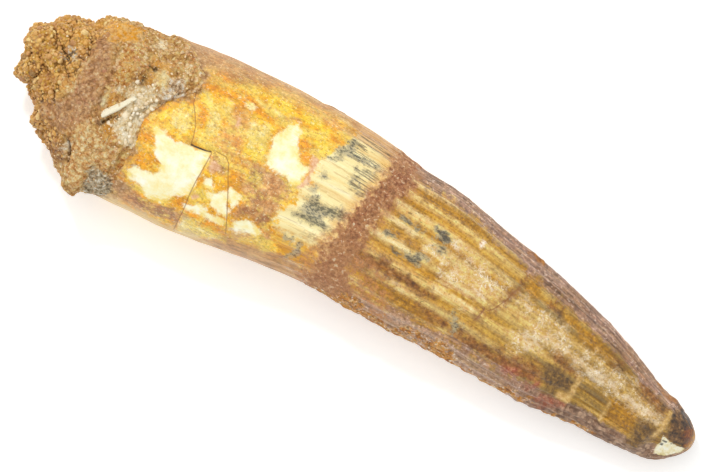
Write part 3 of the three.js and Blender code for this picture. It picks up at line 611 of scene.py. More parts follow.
def makeTooth():
    piece, along, angle, fill = turnedBlank("fossilTooth", tooth["columns"], tooth["cuts"])
    start, inset = tooth["start"], tooth["inset"]
    x = evenPlaces(along, toothSurface, start, form["tipEnd"])
    x = x + np.clip(1 - (x - start) / tooth["settle"], 0, 1) * (breakAt(angle) - inset - start)
    points = toothSurface(x, angle, fill)
    writePoints(piece, points)
    normals = readNormals(piece)
    low, high = curveThrough(toothSections, x)[:2]
    y = points[:, 1]
    across = np.cos(angle)
    upper = smooth(-0.12, 0.12, np.sin(angle))  # 1 on the side that lies up
    pastBreak = x - breakAt(angle)
    enamelField = x - curveThrough(neckEdge, y)[0]
    underX, underY = underPlan(x, y, (low + high) / 2, enamelField < 0)
    fields = markFields(marks, x, y, underX, underY, upper)
    wobble = roughRipple(points, 2.2, seed=2)

    # the sand: the band round the neck, the crust along the lower side, the rim by the lump
    bandLeft, bandRight = curveThrough(bandEdges, y)
    bandField = np.minimum(x - bandLeft, bandRight - x) + 0.9 * wobble
    lower = smooth(0, -6, y)
    filmField = np.minimum(x - bandLeft + 2.2 * lower, bandRight - x + 6.5 * lower)
    fromLower = np.abs((angle + 0.10) % (2 * math.pi) - math.pi)  # angle from just above the lower edge
    crustWidth = 0.40 * np.interp(x, *tooth["crustWide"])
    crustField = (crustWidth - fromLower) * 8 - 0.6 + 4.2 * roughRipple(points, 4.5, seed=9, octaves=4)
    crustField = np.minimum(crustField, np.minimum(x + 4, 49 - x) * 0.3)
    rimField = 1.6 - 1.5 * bareRim(angle) - pastBreak + 1.1 * wobble
    rimField = np.maximum(rimField, fields["sandFilm"] + 0.5 * wobble)
    sandField = np.maximum(np.maximum(bandField, crustField), rimField - 1.0)

    # brown bark along the sides of the root, mauve and lilac along the sides of the crown
    barkField = (across - np.interp(x, *tooth["barkFrom"])) * 13 + 0.6 * wobble
    lowNeckField = np.minimum((-across - 0.82) * 12, np.minimum(0.3 * x + 6, 4 - x))
    lowNeckField += 0.8 * roughRipple(points * (0.5, 1, 1), 5, seed=18)
    upperStrip = across - np.interp(x, *tooth["upperFrom"])
    lowerStrip = -across - np.interp(x, *tooth["lowerFrom"])
    mauveField = np.minimum(12 * np.maximum(upperStrip, lowerStrip - 0.5 * smooth(40, 32, x)), x - 1.5)
    lilacField = np.minimum(12 * lowerStrip, np.minimum(x - 1.5, 39 - x))
    pebblyField = np.minimum(12 * lowerStrip, np.minimum(x - 34, 61 - x)) + 0.8 * wobble

    crest = fluteCrest(angle)
    fluted = smooth(tooth["fluteFrom"], tooth["fluteFull"], x)
    fluted = fluted * (1 - smooth(tooth["fluteFade"], tooth["fluteEnd"], x))
    radius = 13  # mm round the tooth for a turn of 1 radian
    around = np.stack([radius * np.cos(angle), radius * np.sin(angle), 0.07 * x], axis=1)
    relief = tooth["fluteDepth"] * (crest - 0.4) * fluted
    height, size = tooth["striae"]
    relief += height * roughRipple(around, size, seed=4) * smooth(-16, -10, x)
    onRoot = 1 - smooth(-16, -8, x)
    height, size = tooth["rootWaves"]
    relief += height * roughRipple(points, size, seed=6, octaves=4) * onRoot
    height, size = tooth["rootGrain"]
    relief += height * roughRipple(points * (0.35, 1, 1), size, seed=8) * onRoot
    relief -= tooth["creamSunk"] * smooth(-0.3, 0.3, fields["cream"])
    sandy = smooth(-0.5, 0.5, sandField)
    height, size = tooth["sand"]
    sandTop = tooth["bandHeight"] * 0.5 + height * roughRipple(points, size, seed=12)
    relief = relief * (1 - sandy) + sandy * sandTop
    height, size = tooth["crust"]
    crusty = smooth(-0.4, 0.8, crustField)
    relief += crusty * height * (lumps(points, size) * 0.8 + 0.35 * lumps(points, 1.2, seed=3) - 0.6)
    relief -= tooth["sideWorn"] * smooth(0.75, 0.95, np.abs(across)) * smooth(-14, -8, x)
    relief += smooth(-0.6, 0.6, bandField) * tooth["bandHeight"] * 0.5
    height, size = tooth["mauveRough"]
    relief += height * smooth(-0.5, 1.5, mauveField) * roughRipple(points, size, seed=22)
    height, size = tooth["pebbles"]
    pebbles = lumps(points, size, seed=5) + roughRipple(points, 1.5, seed=14)
    relief += height * smooth(-0.5, 0.8, pebblyField) * pebbles
    height, size = tooth["nodules"]
    relief += height * smooth(-0.2, 0.5, fields["nodule"]) * (0.5 + lumps(points, size, seed=8))
    for place, tall, wide in tooth["ridges"]:
        waver = x - place - 0.35 * ripple(points, 3.0, seed=15)
        relief += tall * np.exp(-(waver / wide) ** 2) * (across > -0.95)
    relief *= smooth(0, 1.2, form["tipEnd"] - x) * 0.9 + 0.1
    sunk, bareShare = tooth["breakRound"]
    relief -= (sunk - bareShare * bareRim(angle)) * smooth(1.5, 0, pastBreak + inset)
    crackSide, crackNear, gap = crackFields(x, y, underX, underY, upper)
    cut = crackNear * np.exp(-(crackSide / tooth["crackWide"]) ** 2)
    relief -= tooth["gapDepth"] * gap + tooth["crackDepth"] * cut
    relief += tooth["crackStep"] * crackNear * smooth(0, 0.3, crackSide) * (1 - smooth(0.3, 2.5, crackSide))

    points = points + normals * relief[:, None]
    chipNormal = np.array(tooth["chipNormal"]) / np.linalg.norm(tooth["chipNormal"])
    proud = (points - np.array(tooth["chipAt"])) @ chipNormal + tooth["chipDepth"] - 0.06 * wobble
    points -= (np.maximum(proud, 0) * smooth(57.5, 60.5, x))[:, None] * chipNormal
    points[:, 2] = np.maximum(points[:, 2], 0)  # flat where it rests
    writePoints(piece, points)
    onTip = smooth(-0.75, -0.35, np.sin(angle)) * (x > 58)
    for name in ("white", "tipDark", "ember", "amberRim", "flecks"):  # in the plan of the chipped tip
        fields[name] += (insideAny(marks[name], points[:, 0], points[:, 1]) - fields[name]) * onTip

    fields.update({
        "band": bandField, "crust": crustField, "rim": rimField, "film": filmField, "enamel": enamelField,
        "bark": barkField, "lowNeck": lowNeckField, "mauve": mauveField, "lilac": lilacField,
        "pebbly": pebblyField, "underPale": (-across - 0.93) * 20 + 0.8 * roughRipple(points, 5, seed=19),
        "crest": crest * fluted, "crackSide": crackSide, "crackNear": crackNear, "gap": gap,
        # two sets of coordinates for patterns that are stretched along the tooth, the second less and aslant
        "around": around * metres,
        "brushed": points * metres @ np.array([[0.5, 0.1, 0], [-0.2, 1, 0], [0, 0, 1]])})
    for name, field in fields.items():
        storeField(piece, name, field)
    closePole(piece)
    print("tooth:", len(piece.data.polygons), "faces")
    return piece


# Outlines of the marks of the stone, in the plan.
lumpMarks = {
    "mauveSand": [
        [(-54.4, 9.4), (-53.2, 9.4), (-51.4, 7.6), (-50.3, 5), (-49.8, 1), (-48.8, -2.8), (-49.4, -5.4),
         (-50.6, -7.6), (-53.6, -9), (-57.4, -6.6), (-59.6, -5.4), (-57, -4.8), (-54.2, -3.4), (-54.2, 4)],
    ],
    "fineSand": [
        [(-54.8, 10), (-52.6, 9.6), (-49.6, 7), (-48.6, 3.4), (-47.9, -3.2), (-49.2, -6.8), (-53.6, -9.6),
         (-59, -6.8), (-55.8, -5), (-54.4, 0), (-54.4, 6)],
    ],
    "ledge": [
        [(-49.9, 5), (-49.3, 5), (-48.9, 2.4), (-48.7, -0.4), (-47.9, -3), (-47, -4.6), (-47.8, -4.8),
         (-48.9, -3.2), (-49.6, -0.6), (-49.9, 2.4)],
    ],
    "tawny": [
        [(-49.6, 8.6), (-47.4, 9), (-46.4, 5.4), (-46.8, 2.6), (-48.6, 3.6), (-49, 5.8)],
        [(-46.6, -1.8), (-44.4, -0.4), (-43.6, -2.6), (-43.4, -6), (-45.4, -7), (-46.4, -4.6)],
        [(-41.4, -5), (-39.8, -4.6), (-39.8, -9), (-41.4, -9.4)],
    ],
    "ruddySand": [
        [(-59.6, -7.4), (-57.2, -6.8), (-54, -8.8), (-51.4, -10.6), (-49.8, -13), (-51, -14.6), (-55, -12.4),
         (-58.4, -9.6)],
        [(-54.8, 8.6), (-53.6, 8.4), (-53.8, 4.6), (-54.6, 4.8)],
    ],
    "straw": [
        [(-50.4, -5.6), (-47, -5.4), (-43.4, -6), (-42.4, -9.4), (-44.6, -12), (-46.2, -15.4), (-48.4, -14),
         (-50.6, -10.4)],
        [(-56.8, 0.4), (-54.4, 0.6), (-53.8, -1.8), (-56.2, -2.4), (-57.4, -1)],
    ],
    "blotch": [
        [(-54.8, 9.8), (-54.6, 12.2), (-52, 13.4), (-48.4, 13), (-47.4, 11.2), (-50.4, 9.8), (-52.8, 8.8)],
        [(-58.8, 8.6), (-57.6, 8.9), (-57, 7.2), (-57.8, 6), (-59, 6.4)],
    ],
    "quartz": [
        [(-45.4, 4.8), (-42, 5.4), (-40.4, 3.8), (-41.2, 1.4), (-41.5, -3), (-39.8, -4), (-39.8, -5.4),
         (-43.4, -5.2), (-45, -3.6), (-44.4, 0), (-45.4, 2.2)],
        [(-45.3, 13.1), (-43.8, 13.2), (-43.8, 11.9), (-45.1, 12)],
        [(-47.4, 2.8), (-46.4, 2.8), (-46.4, 2), (-47.4, 2)],
    ],
    "pepper": [
        [(-59.4, 4.6), (-57, 5.2), (-55.8, 3.6), (-56.8, 2), (-59.2, 2.6)],
        [(-50.8, -9.2), (-49.6, -9.6), (-50, -11.6), (-51, -11.2)],
        [(-41.4, 6.4), (-40.6, 8), (-38.8, 8.8), (-37.2, 7.2), (-37, 4.6), (-39.4, 3.6), (-41.2, 4.4)],
    ],
    "greySand": [
        [(-44.9, -11.4), (-42.4, -11.2), (-40.4, -12.2), (-40.2, -15.8), (-45, -15.8)],
    ],
    "creamBit": [
        [(-42.8, 8.6), (-41.2, 8.4), (-40.4, 7), (-40.9, 5.4), (-42.3, 5.7), (-42.9, 7)],
        [(-49, 1.8), (-48.2, 1.4), (-48, -0.8), (-47.2, -2), (-48, -2), (-48.8, -0.4)],
    ],
    "amberSand": [
        [(-44.6, 10), (-41.6, 9.8), (-40.6, 8.4), (-42.6, 8.2), (-42.9, 6), (-42.2, 5), (-43.8, 5.2),
         (-44, 7.6)],
        [(-48.9, 1.8), (-47.4, 1.6), (-46.6, 0.2), (-47.6, -1.6), (-48.4, -0.2)],
        [(-46.8, -3.6), (-44.8, -2.6), (-43.8, -4.2), (-45, -5.6), (-46.4, -5)],
    ],
    # near-black in two pits and along the lower side of the splinter: painted shadow
    "shadowPits": [
        [(-44.6, 6.5), (-44.2, 6.2), (-43.9, 5.7), (-44.5, 5.3), (-44.7, 5.9)],
        [(-44.8, 8.4), (-43, 8.5), (-43, 8.2), (-44.8, 8.1)],
        [(-47.2, -3.8), (-46.2, -2.8), (-45.2, -1.8), (-45, -2.1), (-46, -3.3), (-46.9, -4.3)],
    ],
}
ledgeLine = [(-53.5, 9.5), (-51, 8.2), (-49.9, 6), (-49.6, 3), (-49.4, 0), (-48.8, -2), (-48, -3.8),
             (-46.8, -5.6)]
clefts = [
    [(-61, -0.6), (-60.6, -2.4), (-61.2, -4.4)], [(-64.2, 1.2), (-63.6, -1)],
    [(-58.2, 1.5), (-57, 1), (-55.8, 0.2)], [(-60, 4.4), (-58.4, 3.4), (-57.2, 2.6)],
    [(-59.4, 8.6), (-58.6, 6.4), (-59.2, 4.8)], [(-56.4, 8.8), (-55.2, 7), (-54.8, 5)],
    [(-62.4, 6.6), (-61, 5.4), (-60.6, 3.2)], [(-57.4, -2.8), (-56.2, -4), (-55.8, -5.6)],
    [(-51.6, -9), (-49.8, -11), (-49.2, -12.8)],
]
lump = {
    "columns": 320, "cuts": 16,
    "overlap": 0.88,  # share of the rings before the broken edge
    "noduleSize": 4.4, "noduleHeight": 1.9, "fineHeight": 0.7, "coarseTo": -54, "coarseFade": 2,
    "hollowAt": (-44.5, 0.6), "hollowReach": (5, 6.4), "hollowWall": 0.35, "hollowDepth": 1.1,
    "grainSize": 1.35, "grainHeight": 0.5, "lip": 0.5, "cleftDepth": 0.8, "cleftWide": 0.35,
    "inset": 1.2, "crustOver": 2.0, "crustThick": 0.26,
    # hollows and swellings of the whole stone: height, and between which places each one fades in
    "swellings": [
        (-0.3, ("x", -50, -54), ("x", -58, -55)),
        (-1.1, ("x", -63.6, -65.2), ("y", 2.4, 0.4)),
        (-0.5, ("x", -64.5, -65.8)),
        (-0.85, ("y", -2, -5), ("x", -57, -58.5), ("x", -63, -61.5)),
        (-0.6, ("y", 5, 7), ("x", -59, -60.5)),
        (-0.5, ("across", 0.7, 0.95), ("x", -46, -44.5), ("x", -40.5, -42.5)),
        (0.8, ("across", -0.75, -0.95), ("x", -49, -47.2), ("x", -44.8, -46)),
    ],
}


def lumpSurface(x, angle, fill):
    low, high, under, top = curveThrough(lumpSections, x)
    return sectionPoints(x, low, high, under, top, angle, fill)


def makeLump():
    piece, along, angle, fill = turnedBlank("sandstoneLump", lump["columns"], lump["cuts"])
    edge = breakAt(angle)
    across = np.cos(angle)
    firstRing, lastRing = lumpSections[0][0], lumpSections[-1][0]
    overlap, inset = lump["overlap"], lump["inset"]
    x = evenPlaces(np.clip(along / overlap, 0, 1), lumpSurface, firstRing, lastRing)
    x = x + smooth(-50, lastRing, x) * (edge - inset - lastRing)
    outer = lumpSurface(x, angle, np.where(along < 1e-6, 0, fill))

    # past the broken edge the last rings lie on the root as a thin crust
    onRoot = np.clip((along - overlap) / (1 - overlap), 0, 1)
    crustX = edge - inset + onRoot * (inset + lump["crustOver"] * (1 - 0.7 * bareRim(angle)))
    rootPoints = toothSurface(crustX, angle, fill)
    away = rootPoints - toothSurface(crustX, angle, np.zeros(len(x)))
    away /= np.maximum(np.linalg.norm(away, axis=1), 1e-6)[:, None]
    wobble = roughRipple(rootPoints, 2.0, seed=21)
    thick = lump["crustThick"] * (1.0 + 1.1 * wobble) * (1 - 1.5 * smooth(0.2, 1.0, onRoot))
    thick = thick - 0.8 * smooth(0.75, 1, onRoot)
    crust = rootPoints + away * thick[:, None] * (fill > 0.5)[:, None]
    step = smooth(0, 0.32, onRoot)[:, None]
    points = np.where((onRoot > 0)[:, None], outer * (1 - step) + crust * step, outer)
    points[:, 0] = np.where(onRoot > 0, crustX, points[:, 0])
    writePoints(piece, points)
    normals = readNormals(piece)
    normals[along < 1e-6] = (-1, 0, 0)

    px, py = points[:, 0], points[:, 1]
    upper = smooth(-0.12, 0.12, np.sin(angle))
    fields = markFields(lumpMarks, px, py, px + 1.5, -2 - py, upper)
    soft = smooth(-0.8, 0.8, fields["fineSand"])
    coarseFrom, coarseTo = lump["coarseTo"] - lump["coarseFade"], lump["coarseTo"] + lump["coarseFade"]
    coarse = (1 - smooth(coarseFrom, coarseTo, px + 1.5 * ripple(points, 4, seed=5))) * (1 - soft)
    fineHeight, noduleHeight = lump["fineHeight"], lump["noduleHeight"]
    height = fineHeight + (noduleHeight - fineHeight) * (1 - smooth(coarseFrom, coarseTo, px))
    (hollowX, hollowY), (reachX, reachY) = lump["hollowAt"], lump["hollowReach"]
    out = np.hypot((px - hollowX) / reachX, (py - hollowY) / reachY)
    sunk = lump["hollowDepth"] * (1 - smooth(1 - lump["hollowWall"], 1, out)) * (np.sin(angle) > 0)
    beforeEdge = smooth(0, 1.2, edge - px)
    relief = (height * (lumps(points, lump["noduleSize"]) - 0.5) - sunk) * beforeEdge - 0.35 * coarse
    places = {"x": px, "y": py, "across": across}
    for swelling, *slopes in lump["swellings"]:
        for place, start, end in slopes:
            swelling = swelling * smooth(start, end, places[place])
        relief += swelling

    # grains, from coarse to fine
    grains = lumps(points, lump["grainSize"], seed=1)
    fine = lumps(points, 0.62, seed=2)
    relief += coarse * lump["grainHeight"] * (grains - 0.45)
    between = 1 - coarse
    relief += (1 - 0.75 * soft) * between * 0.42 * (lumps(points, 0.95, seed=4) - 0.4) * (1 - 0.5 * onRoot)
    relief += (1 - 0.8 * soft) * between * 0.45 * (lumps(points, 2.4, seed=6) - 0.5) * beforeEdge
    relief += 0.10 * (fine - 0.4) * (1 - 0.4 * soft)
    relief += 0.10 * roughRipple(points, 1.1, seed=7)
    # sunk where the shadow is painted
    relief -= 0.9 * smooth(-0.2, 0.25, fields["shadowPits"])
    side, past = besideLine(ledgeLine, px, py)
    lip = lump["lip"] * smooth(-4.5, -1.0, side) * (1 - smooth(-0.9, 0.9, side))
    relief += lip * upper * (1 - smooth(0, 1.5, past))
    cleft = np.zeros(len(px))
    for line in clefts:
        side, past = besideLine(line, px, py)
        depth = np.exp(-(side / lump["cleftWide"]) ** 2) * (1 - smooth(0, 0.6, past)) * upper
        cleft = np.maximum(cleft, depth)
    relief -= lump["cleftDepth"] * cleft
    flank = smooth(0.80, 0.97, np.abs(across))  # the nodules don't widen the plan
    relief -= 0.45 * flank * smooth(-44, -47, px) * smooth(-58, -55.5, px)
    writePoints(piece, points + normals * relief[:, None])
    points = readPoints(piece)
    points[:, 2] = np.maximum(points[:, 2], 0)
    writePoints(piece, points)

    for name in ("blotch", "creamBit", "quartz", "amberSand"):  # these fade out down the flanks
        fields[name] = fields[name] - 3.0 * smooth(0.30, 0.05, np.abs(np.sin(angle)))
    fields["coarse"] = coarse
    fields["grain"] = np.where(coarse > 0.5, grains, 0.5 + 0.5 * fine) * (1 - cleft)
    for name, field in fields.items():
        storeField(piece, name, field)
    closePole(piece)
    print("lump:", len(piece.data.polygons), "faces")
    return piece


splinter = {
    "foot": (-47.9, -3.1), "bend": (-45.7, -0.1), "head": (-44.1, 2.4), "height": 24.55, "bendAt": 0.58,
    "wide": ([0, 0.04, 0.55, 0.60, 1], [1.15, 1.25, 1.2, 1.0, 0.75]),  # places along it, and widths there
    "tall": ([0, 0.1, 0.55, 0.62, 1], [1.1, 1.15, 1.1, 0.85, 0.5]),
    "cuts": 24,
}


def makeSplinter():
    deselectAll()
    foot, bend, head = (np.array(splinter[key]) for key in ("foot", "bend", "head"))
    bpy.ops.mesh.primitive_cube_add(size=1)
    piece = bpy.context.object
    piece.name = piece.data.name = "boneSplinter"
    bpy.ops.object.mode_set(mode="EDIT")
    bpy.ops.mesh.subdivide(number_cuts=splinter["cuts"])
    bpy.ops.object.mode_set(mode="OBJECT")
    bpy.ops.object.shade_smooth()
    cube = readPoints(piece) * metres
    t, bendAt = cube[:, 0] + 0.5, splinter["bendAt"]
    lower, upper = np.minimum(t / bendAt, 1), np.maximum((t - bendAt) / (1 - bendAt), 0)
    spine = foot + lower[:, None] * (bend - foot) + upper[:, None] * (head - bend)
    along = (head - foot) / np.linalg.norm(head - foot)
    across = np.array([-along[1], along[0]])
    wide = np.interp(t, *splinter["wide"])
    tall = np.interp(t, *splinter["tall"])
    side, up = cube[:, 1] * 2, cube[:, 2] * 2
    square = np.maximum(np.abs(side), np.abs(up))
    radial = np.maximum(np.hypot(side, up), 1e-6)
    corner = 0.08 + 0.92 * square / radial  # nearly round, from square
    side, up = side * corner, up * corner * (1 - 0.25 * side)
    t = t + 0.05 * side * (0.5 - np.abs(t - 0.5))
    points = np.empty_like(cube)
    points[:, :2] = spine + (side * wide / 2)[:, None] * across
    points[:, 2] = splinter["height"] + up * tall / 2 + 0.25 * (t - 0.5)
    fibre = np.stack([t * 1.5, side * 3, up * 3], axis=1)
    points += 0.06 * roughRipple(fibre * 2, 1.0, seed=31)[:, None] * np.array([0.3, 1, 1])
    torn = 0.25 * roughRipple(fibre, 1.2, seed=33)[:, None] * (np.abs(t - 0.5) > 0.47)[:, None]
    points[:, :2] += torn * along
    writePoints(piece, points)
    storeField(piece, "fibre", fibre)
    print("splinter:", len(piece.data.polygons), "faces")
    return piece


grainSets = {
    # radii in mm; sink and crowd in shares of the radius: how deep a grain lies, how near the next may come;
    # mesh is a grain's segments and rings, stone its material's name, colours and roughness
    "ochreGranules": {
        "count": 2600, "radii": (0.30, 0.86), "sink": 0.35, "crowd": 0.68, "mesh": (7, 5), "seed": 11,
        "stone": ("ochre sand grains", ("#6E4220", "#C68A3A", "#E4A444", "#B07044", "#EAB65A", "#D89A5E",
                                        "#F8DA92"), 0.5)},
    "sandGrains": {
        "count": 3400, "radii": (0.12, 0.36), "sink": 0.50, "crowd": 0.80, "mesh": (6, 4), "seed": 12,
        "stone": ("tan sand grains", ("#8E5E34", "#DAA668", "#C49060", "#EEC68C", "#FFEFC8"), 0.6)},
    "quartzGrains": {
        "count": 300, "radii": (0.32, 0.95), "sink": 0.72, "crowd": 0.58, "mesh": (7, 5), "seed": 13,
        "stone": ("quartz grains", ("#DDBE8C", "#F4E0B8", "#FBF0D4", "#E8D2AE", "#FFFAE8"), 0.45)},
    "neckSand": {
        "count": 1000, "radii": (0.08, 0.22), "sink": 0.60, "crowd": 0.80, "mesh": (6, 4), "seed": 14,
        "stone": ("red-brown sand grains", ("#8A5838", "#A6724E", "#BA8A66", "#D4AC8C"), 0.9)},
    "rimSand": {  # of the same stone as sandGrains
        "count": 1100, "radii": (0.10, 0.24), "sink": 0.55, "crowd": 0.80, "mesh": (6, 4), "seed": 15},
}


def grainShape(segments, rings):
    # one rounded sand grain of radius 1, as points and triangles
    deselectAll()
    bpy.ops.mesh.primitive_uv_sphere_add(segments=segments, ring_count=rings, radius=1)
    ball = bpy.context.object
    points = readPoints(ball) * metres
    points *= (1 + 0.30 * ripple(points, 0.8, seed=41))[:, None] * np.array([1.0, 0.88, 0.75])
    ball.data.calc_loop_triangles()
    faces = np.array([tuple(face.vertices) for face in ball.data.loop_triangles])
    bpy.data.objects.remove(ball)
    return points, faces


def scatterGrains(name, host, wanted):
    # grains laid on the faces of a host, thickest where wanted is high, and never on top of each other
    kind = grainSets[name]
    count, (smallest, largest) = kind["count"], kind["radii"]
    rng = np.random.default_rng(kind["seed"])
    host.data.calc_loop_triangles()
    corners = np.empty(3 * len(host.data.loop_triangles), np.int32)
    host.data.loop_triangles.foreach_get("vertices", corners)
    corners = corners.reshape(-1, 3)
    points = readPoints(host)
    a, b, c = points[corners[:, 0]], points[corners[:, 1]], points[corners[:, 2]]
    cross = np.cross(b - a, c - a)
    area = np.linalg.norm(cross, axis=1) / 2
    chance = area * wanted[corners].mean(axis=1)
    chance[~np.isfinite(chance)] = 0
    tries = 6  # for each grain, as most places are soon taken
    pick = rng.choice(len(corners), size=count * tries, p=chance / chance.sum())
    u, v = rng.random((2, len(pick)))
    flip = u + v > 1
    u, v = np.where(flip, 1 - u, u), np.where(flip, 1 - v, v)
    spots = a[pick] + u[:, None] * (b - a)[pick] + v[:, None] * (c - a)[pick]
    normals = cross[pick] / (2 * area[pick][:, None])
    size = smallest + (largest - smallest) * rng.random(len(pick)) ** 2.2  # mostly small ones
    kept, taken = [], {}
    for n in range(len(pick)):
        i, j, k = np.floor(spots[n] / (2 * largest)).astype(int)
        close = [m for di in (-1, 0, 1) for dj in (-1, 0, 1) for dk in (-1, 0, 1)
                 for m in taken.get((i + di, j + dj, k + dk), ())]
        if close:
            gaps = np.linalg.norm(spots[close] - spots[n], axis=1)
            if (gaps < kind["crowd"] * (size[close] + size[n])).any():
                continue
        taken.setdefault((i, j, k), []).append(n)
        kept.append(n)
        if len(kept) >= count:
            break
    shape, shapeFaces = grainShape(*kind["mesh"])
    turns = rng.normal(size=(len(kept), 4))
    turns /= np.linalg.norm(turns, axis=1)[:, None]
    w, i, j, k = turns.T  # each grain is turned at random
    spin = np.stack([
        np.stack([1 - 2 * (j * j + k * k), 2 * (i * j - k * w), 2 * (i * k + j * w)], axis=1),
        np.stack([2 * (i * j + k * w), 1 - 2 * (i * i + k * k), 2 * (j * k - i * w)], axis=1),
        np.stack([2 * (i * k - j * w), 2 * (j * k + i * w), 1 - 2 * (i * i + j * j)], axis=1)], axis=1)
    stretch = 0.75 + 0.5 * rng.random((len(kept), 1, 3))
    local = shape[None] * stretch * size[kept][:, None, None]
    centres = spots[kept] - normals[kept] * (size[kept] * kind["sink"])[:, None]
    centres[:, 2] = np.maximum(centres[:, 2], size[kept])
    grains = np.einsum("nij,npj->npi", spin, local) + centres[:, None]
    faces = (shapeFaces[None] + len(shape) * np.arange(len(kept))[:, None, None]).reshape(-1, 3)
    mesh = bpy.data.meshes.new(name)
    mesh.from_pydata((grains.reshape(-1, 3) * metres).tolist(), [], faces.tolist())
    piece = bpy.data.objects.new(name, mesh)
    bpy.context.scene.collection.objects.link(piece)
    storeField(piece, "tone", np.repeat(rng.random(len(kept)), len(shape)))
    mesh.polygons.foreach_set("use_smooth", np.ones(len(mesh.polygons), bool))
    mesh.update()
    print(name + ":", len(kept), "grains,", len(faces), "faces")
    return piece


def linear(colour):
    # an sRGB hex value as the linear colour that the shader takes
    channels = [int(colour[n:n + 2], 16) / 255 for n in (1, 3, 5)]
    return tuple(c / 12.92 if c <= 0.04045 else ((c + 0.055) / 1.055) ** 2.4 for c in channels) + (1.0,)


def connect(tree, node, inputs):
    # sets or links inputs that are given in order or by name; a text is a hex colour
    for name, value in inputs.items() if isinstance(inputs, dict) else enumerate(inputs):
        socket = node.inputs[name]
        if isinstance(value, bpy.types.NodeSocket):
            tree.links.new(value, socket)
        else:
            socket.default_value = linear(value) if isinstance(value, str) else value


def addNode(tree, kind, inputs=(), out=0, stops=(), **settings):
    # a node with its settings, its links and a ramp's stops; gives back one of its outputs
    node = tree.nodes.new("ShaderNode" + kind)
    for name, value in settings.items():
        setattr(node, name, value)
    connect(tree, node, inputs)
    if stops:
        elements = node.color_ramp.elements
        for n in (0, -1):
            elements[n].position, elements[n].color = stops[n][0], linear(stops[n][1])
        for place, colour in stops[1:-1]:
            elements.new(place).color = linear(colour)
    return node.outputs[out]


def newMaterial(name):
    material = bpy.data.materials.new(name)
    material.use_nodes = True
    tree = material.node_tree
    return material, tree, tree.nodes["Principled BSDF"]


eased = {"interpolation_type": "SMOOTHSTEP"}


def pattern(tree, coords, size, detail=5, roughness=0.6, kind="TexNoise", **more):
    # a texture on coordinates in metres, with features about this many millimetres apart; the noise lies
    # mostly between 0.3 and 0.7
    return addNode(tree, kind, {"Vector": coords, "Scale": 1 / metres / size, "Detail": detail,
                                "Roughness": roughness, **more})


def noiseShare(tree, coords, size, start, end, detail=5, roughness=0.75):
    # from 0 to 1 as noise of this size goes from start to end
    return addNode(tree, "MapRange", (pattern(tree, coords, size, detail, roughness), start, end), **eased)


def fieldShare(tree, field, *span):
    # from 0 to 1, or between two other values, as a stored field goes from start to end
    value = addNode(tree, "Attribute", out="Fac", attribute_name=field)
    return addNode(tree, "MapRange", (value, *span), **eased)


def maskOf(tree, coords, field, ragged, soft, size=1.6):
    # 1 inside a stored field, with an edge that noise moves by this many millimetres
    noise = pattern(tree, coords, size, 6, 0.68)
    shift = addNode(tree, "Math", (noise, 6 * ragged, -3 * ragged), operation="MULTIPLY_ADD")
    value = addNode(tree, "Attribute", out="Fac", attribute_name=field)
    edge = addNode(tree, "Math", (value, shift), operation="ADD")
    return addNode(tree, "MapRange", (edge, -soft, soft), **eased)


def paint(tree, below, colour, share, *shares):
    # lays a colour over what is below, as strongly as all the shares multiplied
    for more in shares:
        share = addNode(tree, "Math", (share, more), operation="MULTIPLY")
    return addNode(tree, "Mix", {0: share, 6: below, 7: colour}, 2, data_type="RGBA")


def spread(tones, start=0.0, width=1.0):
    # a ramp's stops for a row of colours, evenly over this width
    return [(start + width * n / (len(tones) - 1), tone) for n, tone in enumerate(tones)]


def mottle(tree, coords, size, tones, detail=6, roughness=0.66):
    # noise run through a row of colours, from dark to light
    noise = pattern(tree, coords, size, detail, roughness)
    return addNode(tree, "ValToRGB", (noise,), stops=spread(tones, 0.33, 0.34))


def grainy(tree, coords, below, size, strength):
    # a light and dark grain of this size, laid on so that the contrast grows
    grey = addNode(tree, "ValToRGB", (pattern(tree, coords, size, 3, 0.7),),
                   stops=[(0.34, "#202020"), (0.5, "#BCBCBC"), (0.66, "#FFFFFF")])
    return addNode(tree, "Mix", {0: strength, 6: below, 7: grey}, 2, data_type="RGBA", blend_type="OVERLAY")


def shaded(tree, coords, below, size, amount, detail=4):
    # lighter and darker in places of this size, in the same hue
    value = addNode(tree, "MapRange", (pattern(tree, coords, size, detail, 0.7), 0.34, 0.66,
                                       1 - amount, 1 + 0.6 * amount))
    return addNode(tree, "HueSaturation", {"Color": below, "Value": value})


def sandOf(tree, coords, size, tones, crease):
    # packed sand grains, each in a tone of its own, with painted shade in the creases between; also how far
    # off its middle
    off = pattern(tree, coords, size, 0, 0.5, "TexVoronoi")
    tone = addNode(tree, "SeparateColor", (off.node.outputs["Color"],))
    colour = addNode(tree, "ValToRGB", (tone,), stops=spread(tones, 0.1, 0.8))
    gaps = addNode(tree, "MapRange", (off, 0.40, 0.80), **eased)
    return paint(tree, colour, crease, gaps, 0.6), off


def specks(tree, coords, below, colour, size, cover, strength):
    # small specks of one colour; cover is the noise level that they begin at
    return paint(tree, below, colour, noiseShare(tree, coords, size, cover, cover + 0.06, 2, 0.6), strength)


def wormsOf(tree, coords, size):
    # thin winding lines, as light catches on a pitted gloss
    noise = pattern(tree, coords, size, 2, 0.6, Distortion=1.2)
    off = addNode(tree, "Math", (noise, 0.5), operation="SUBTRACT")
    off = addNode(tree, "Math", (off,), operation="ABSOLUTE")
    return addNode(tree, "MapRange", (off, 0.036, 0.010), **eased)


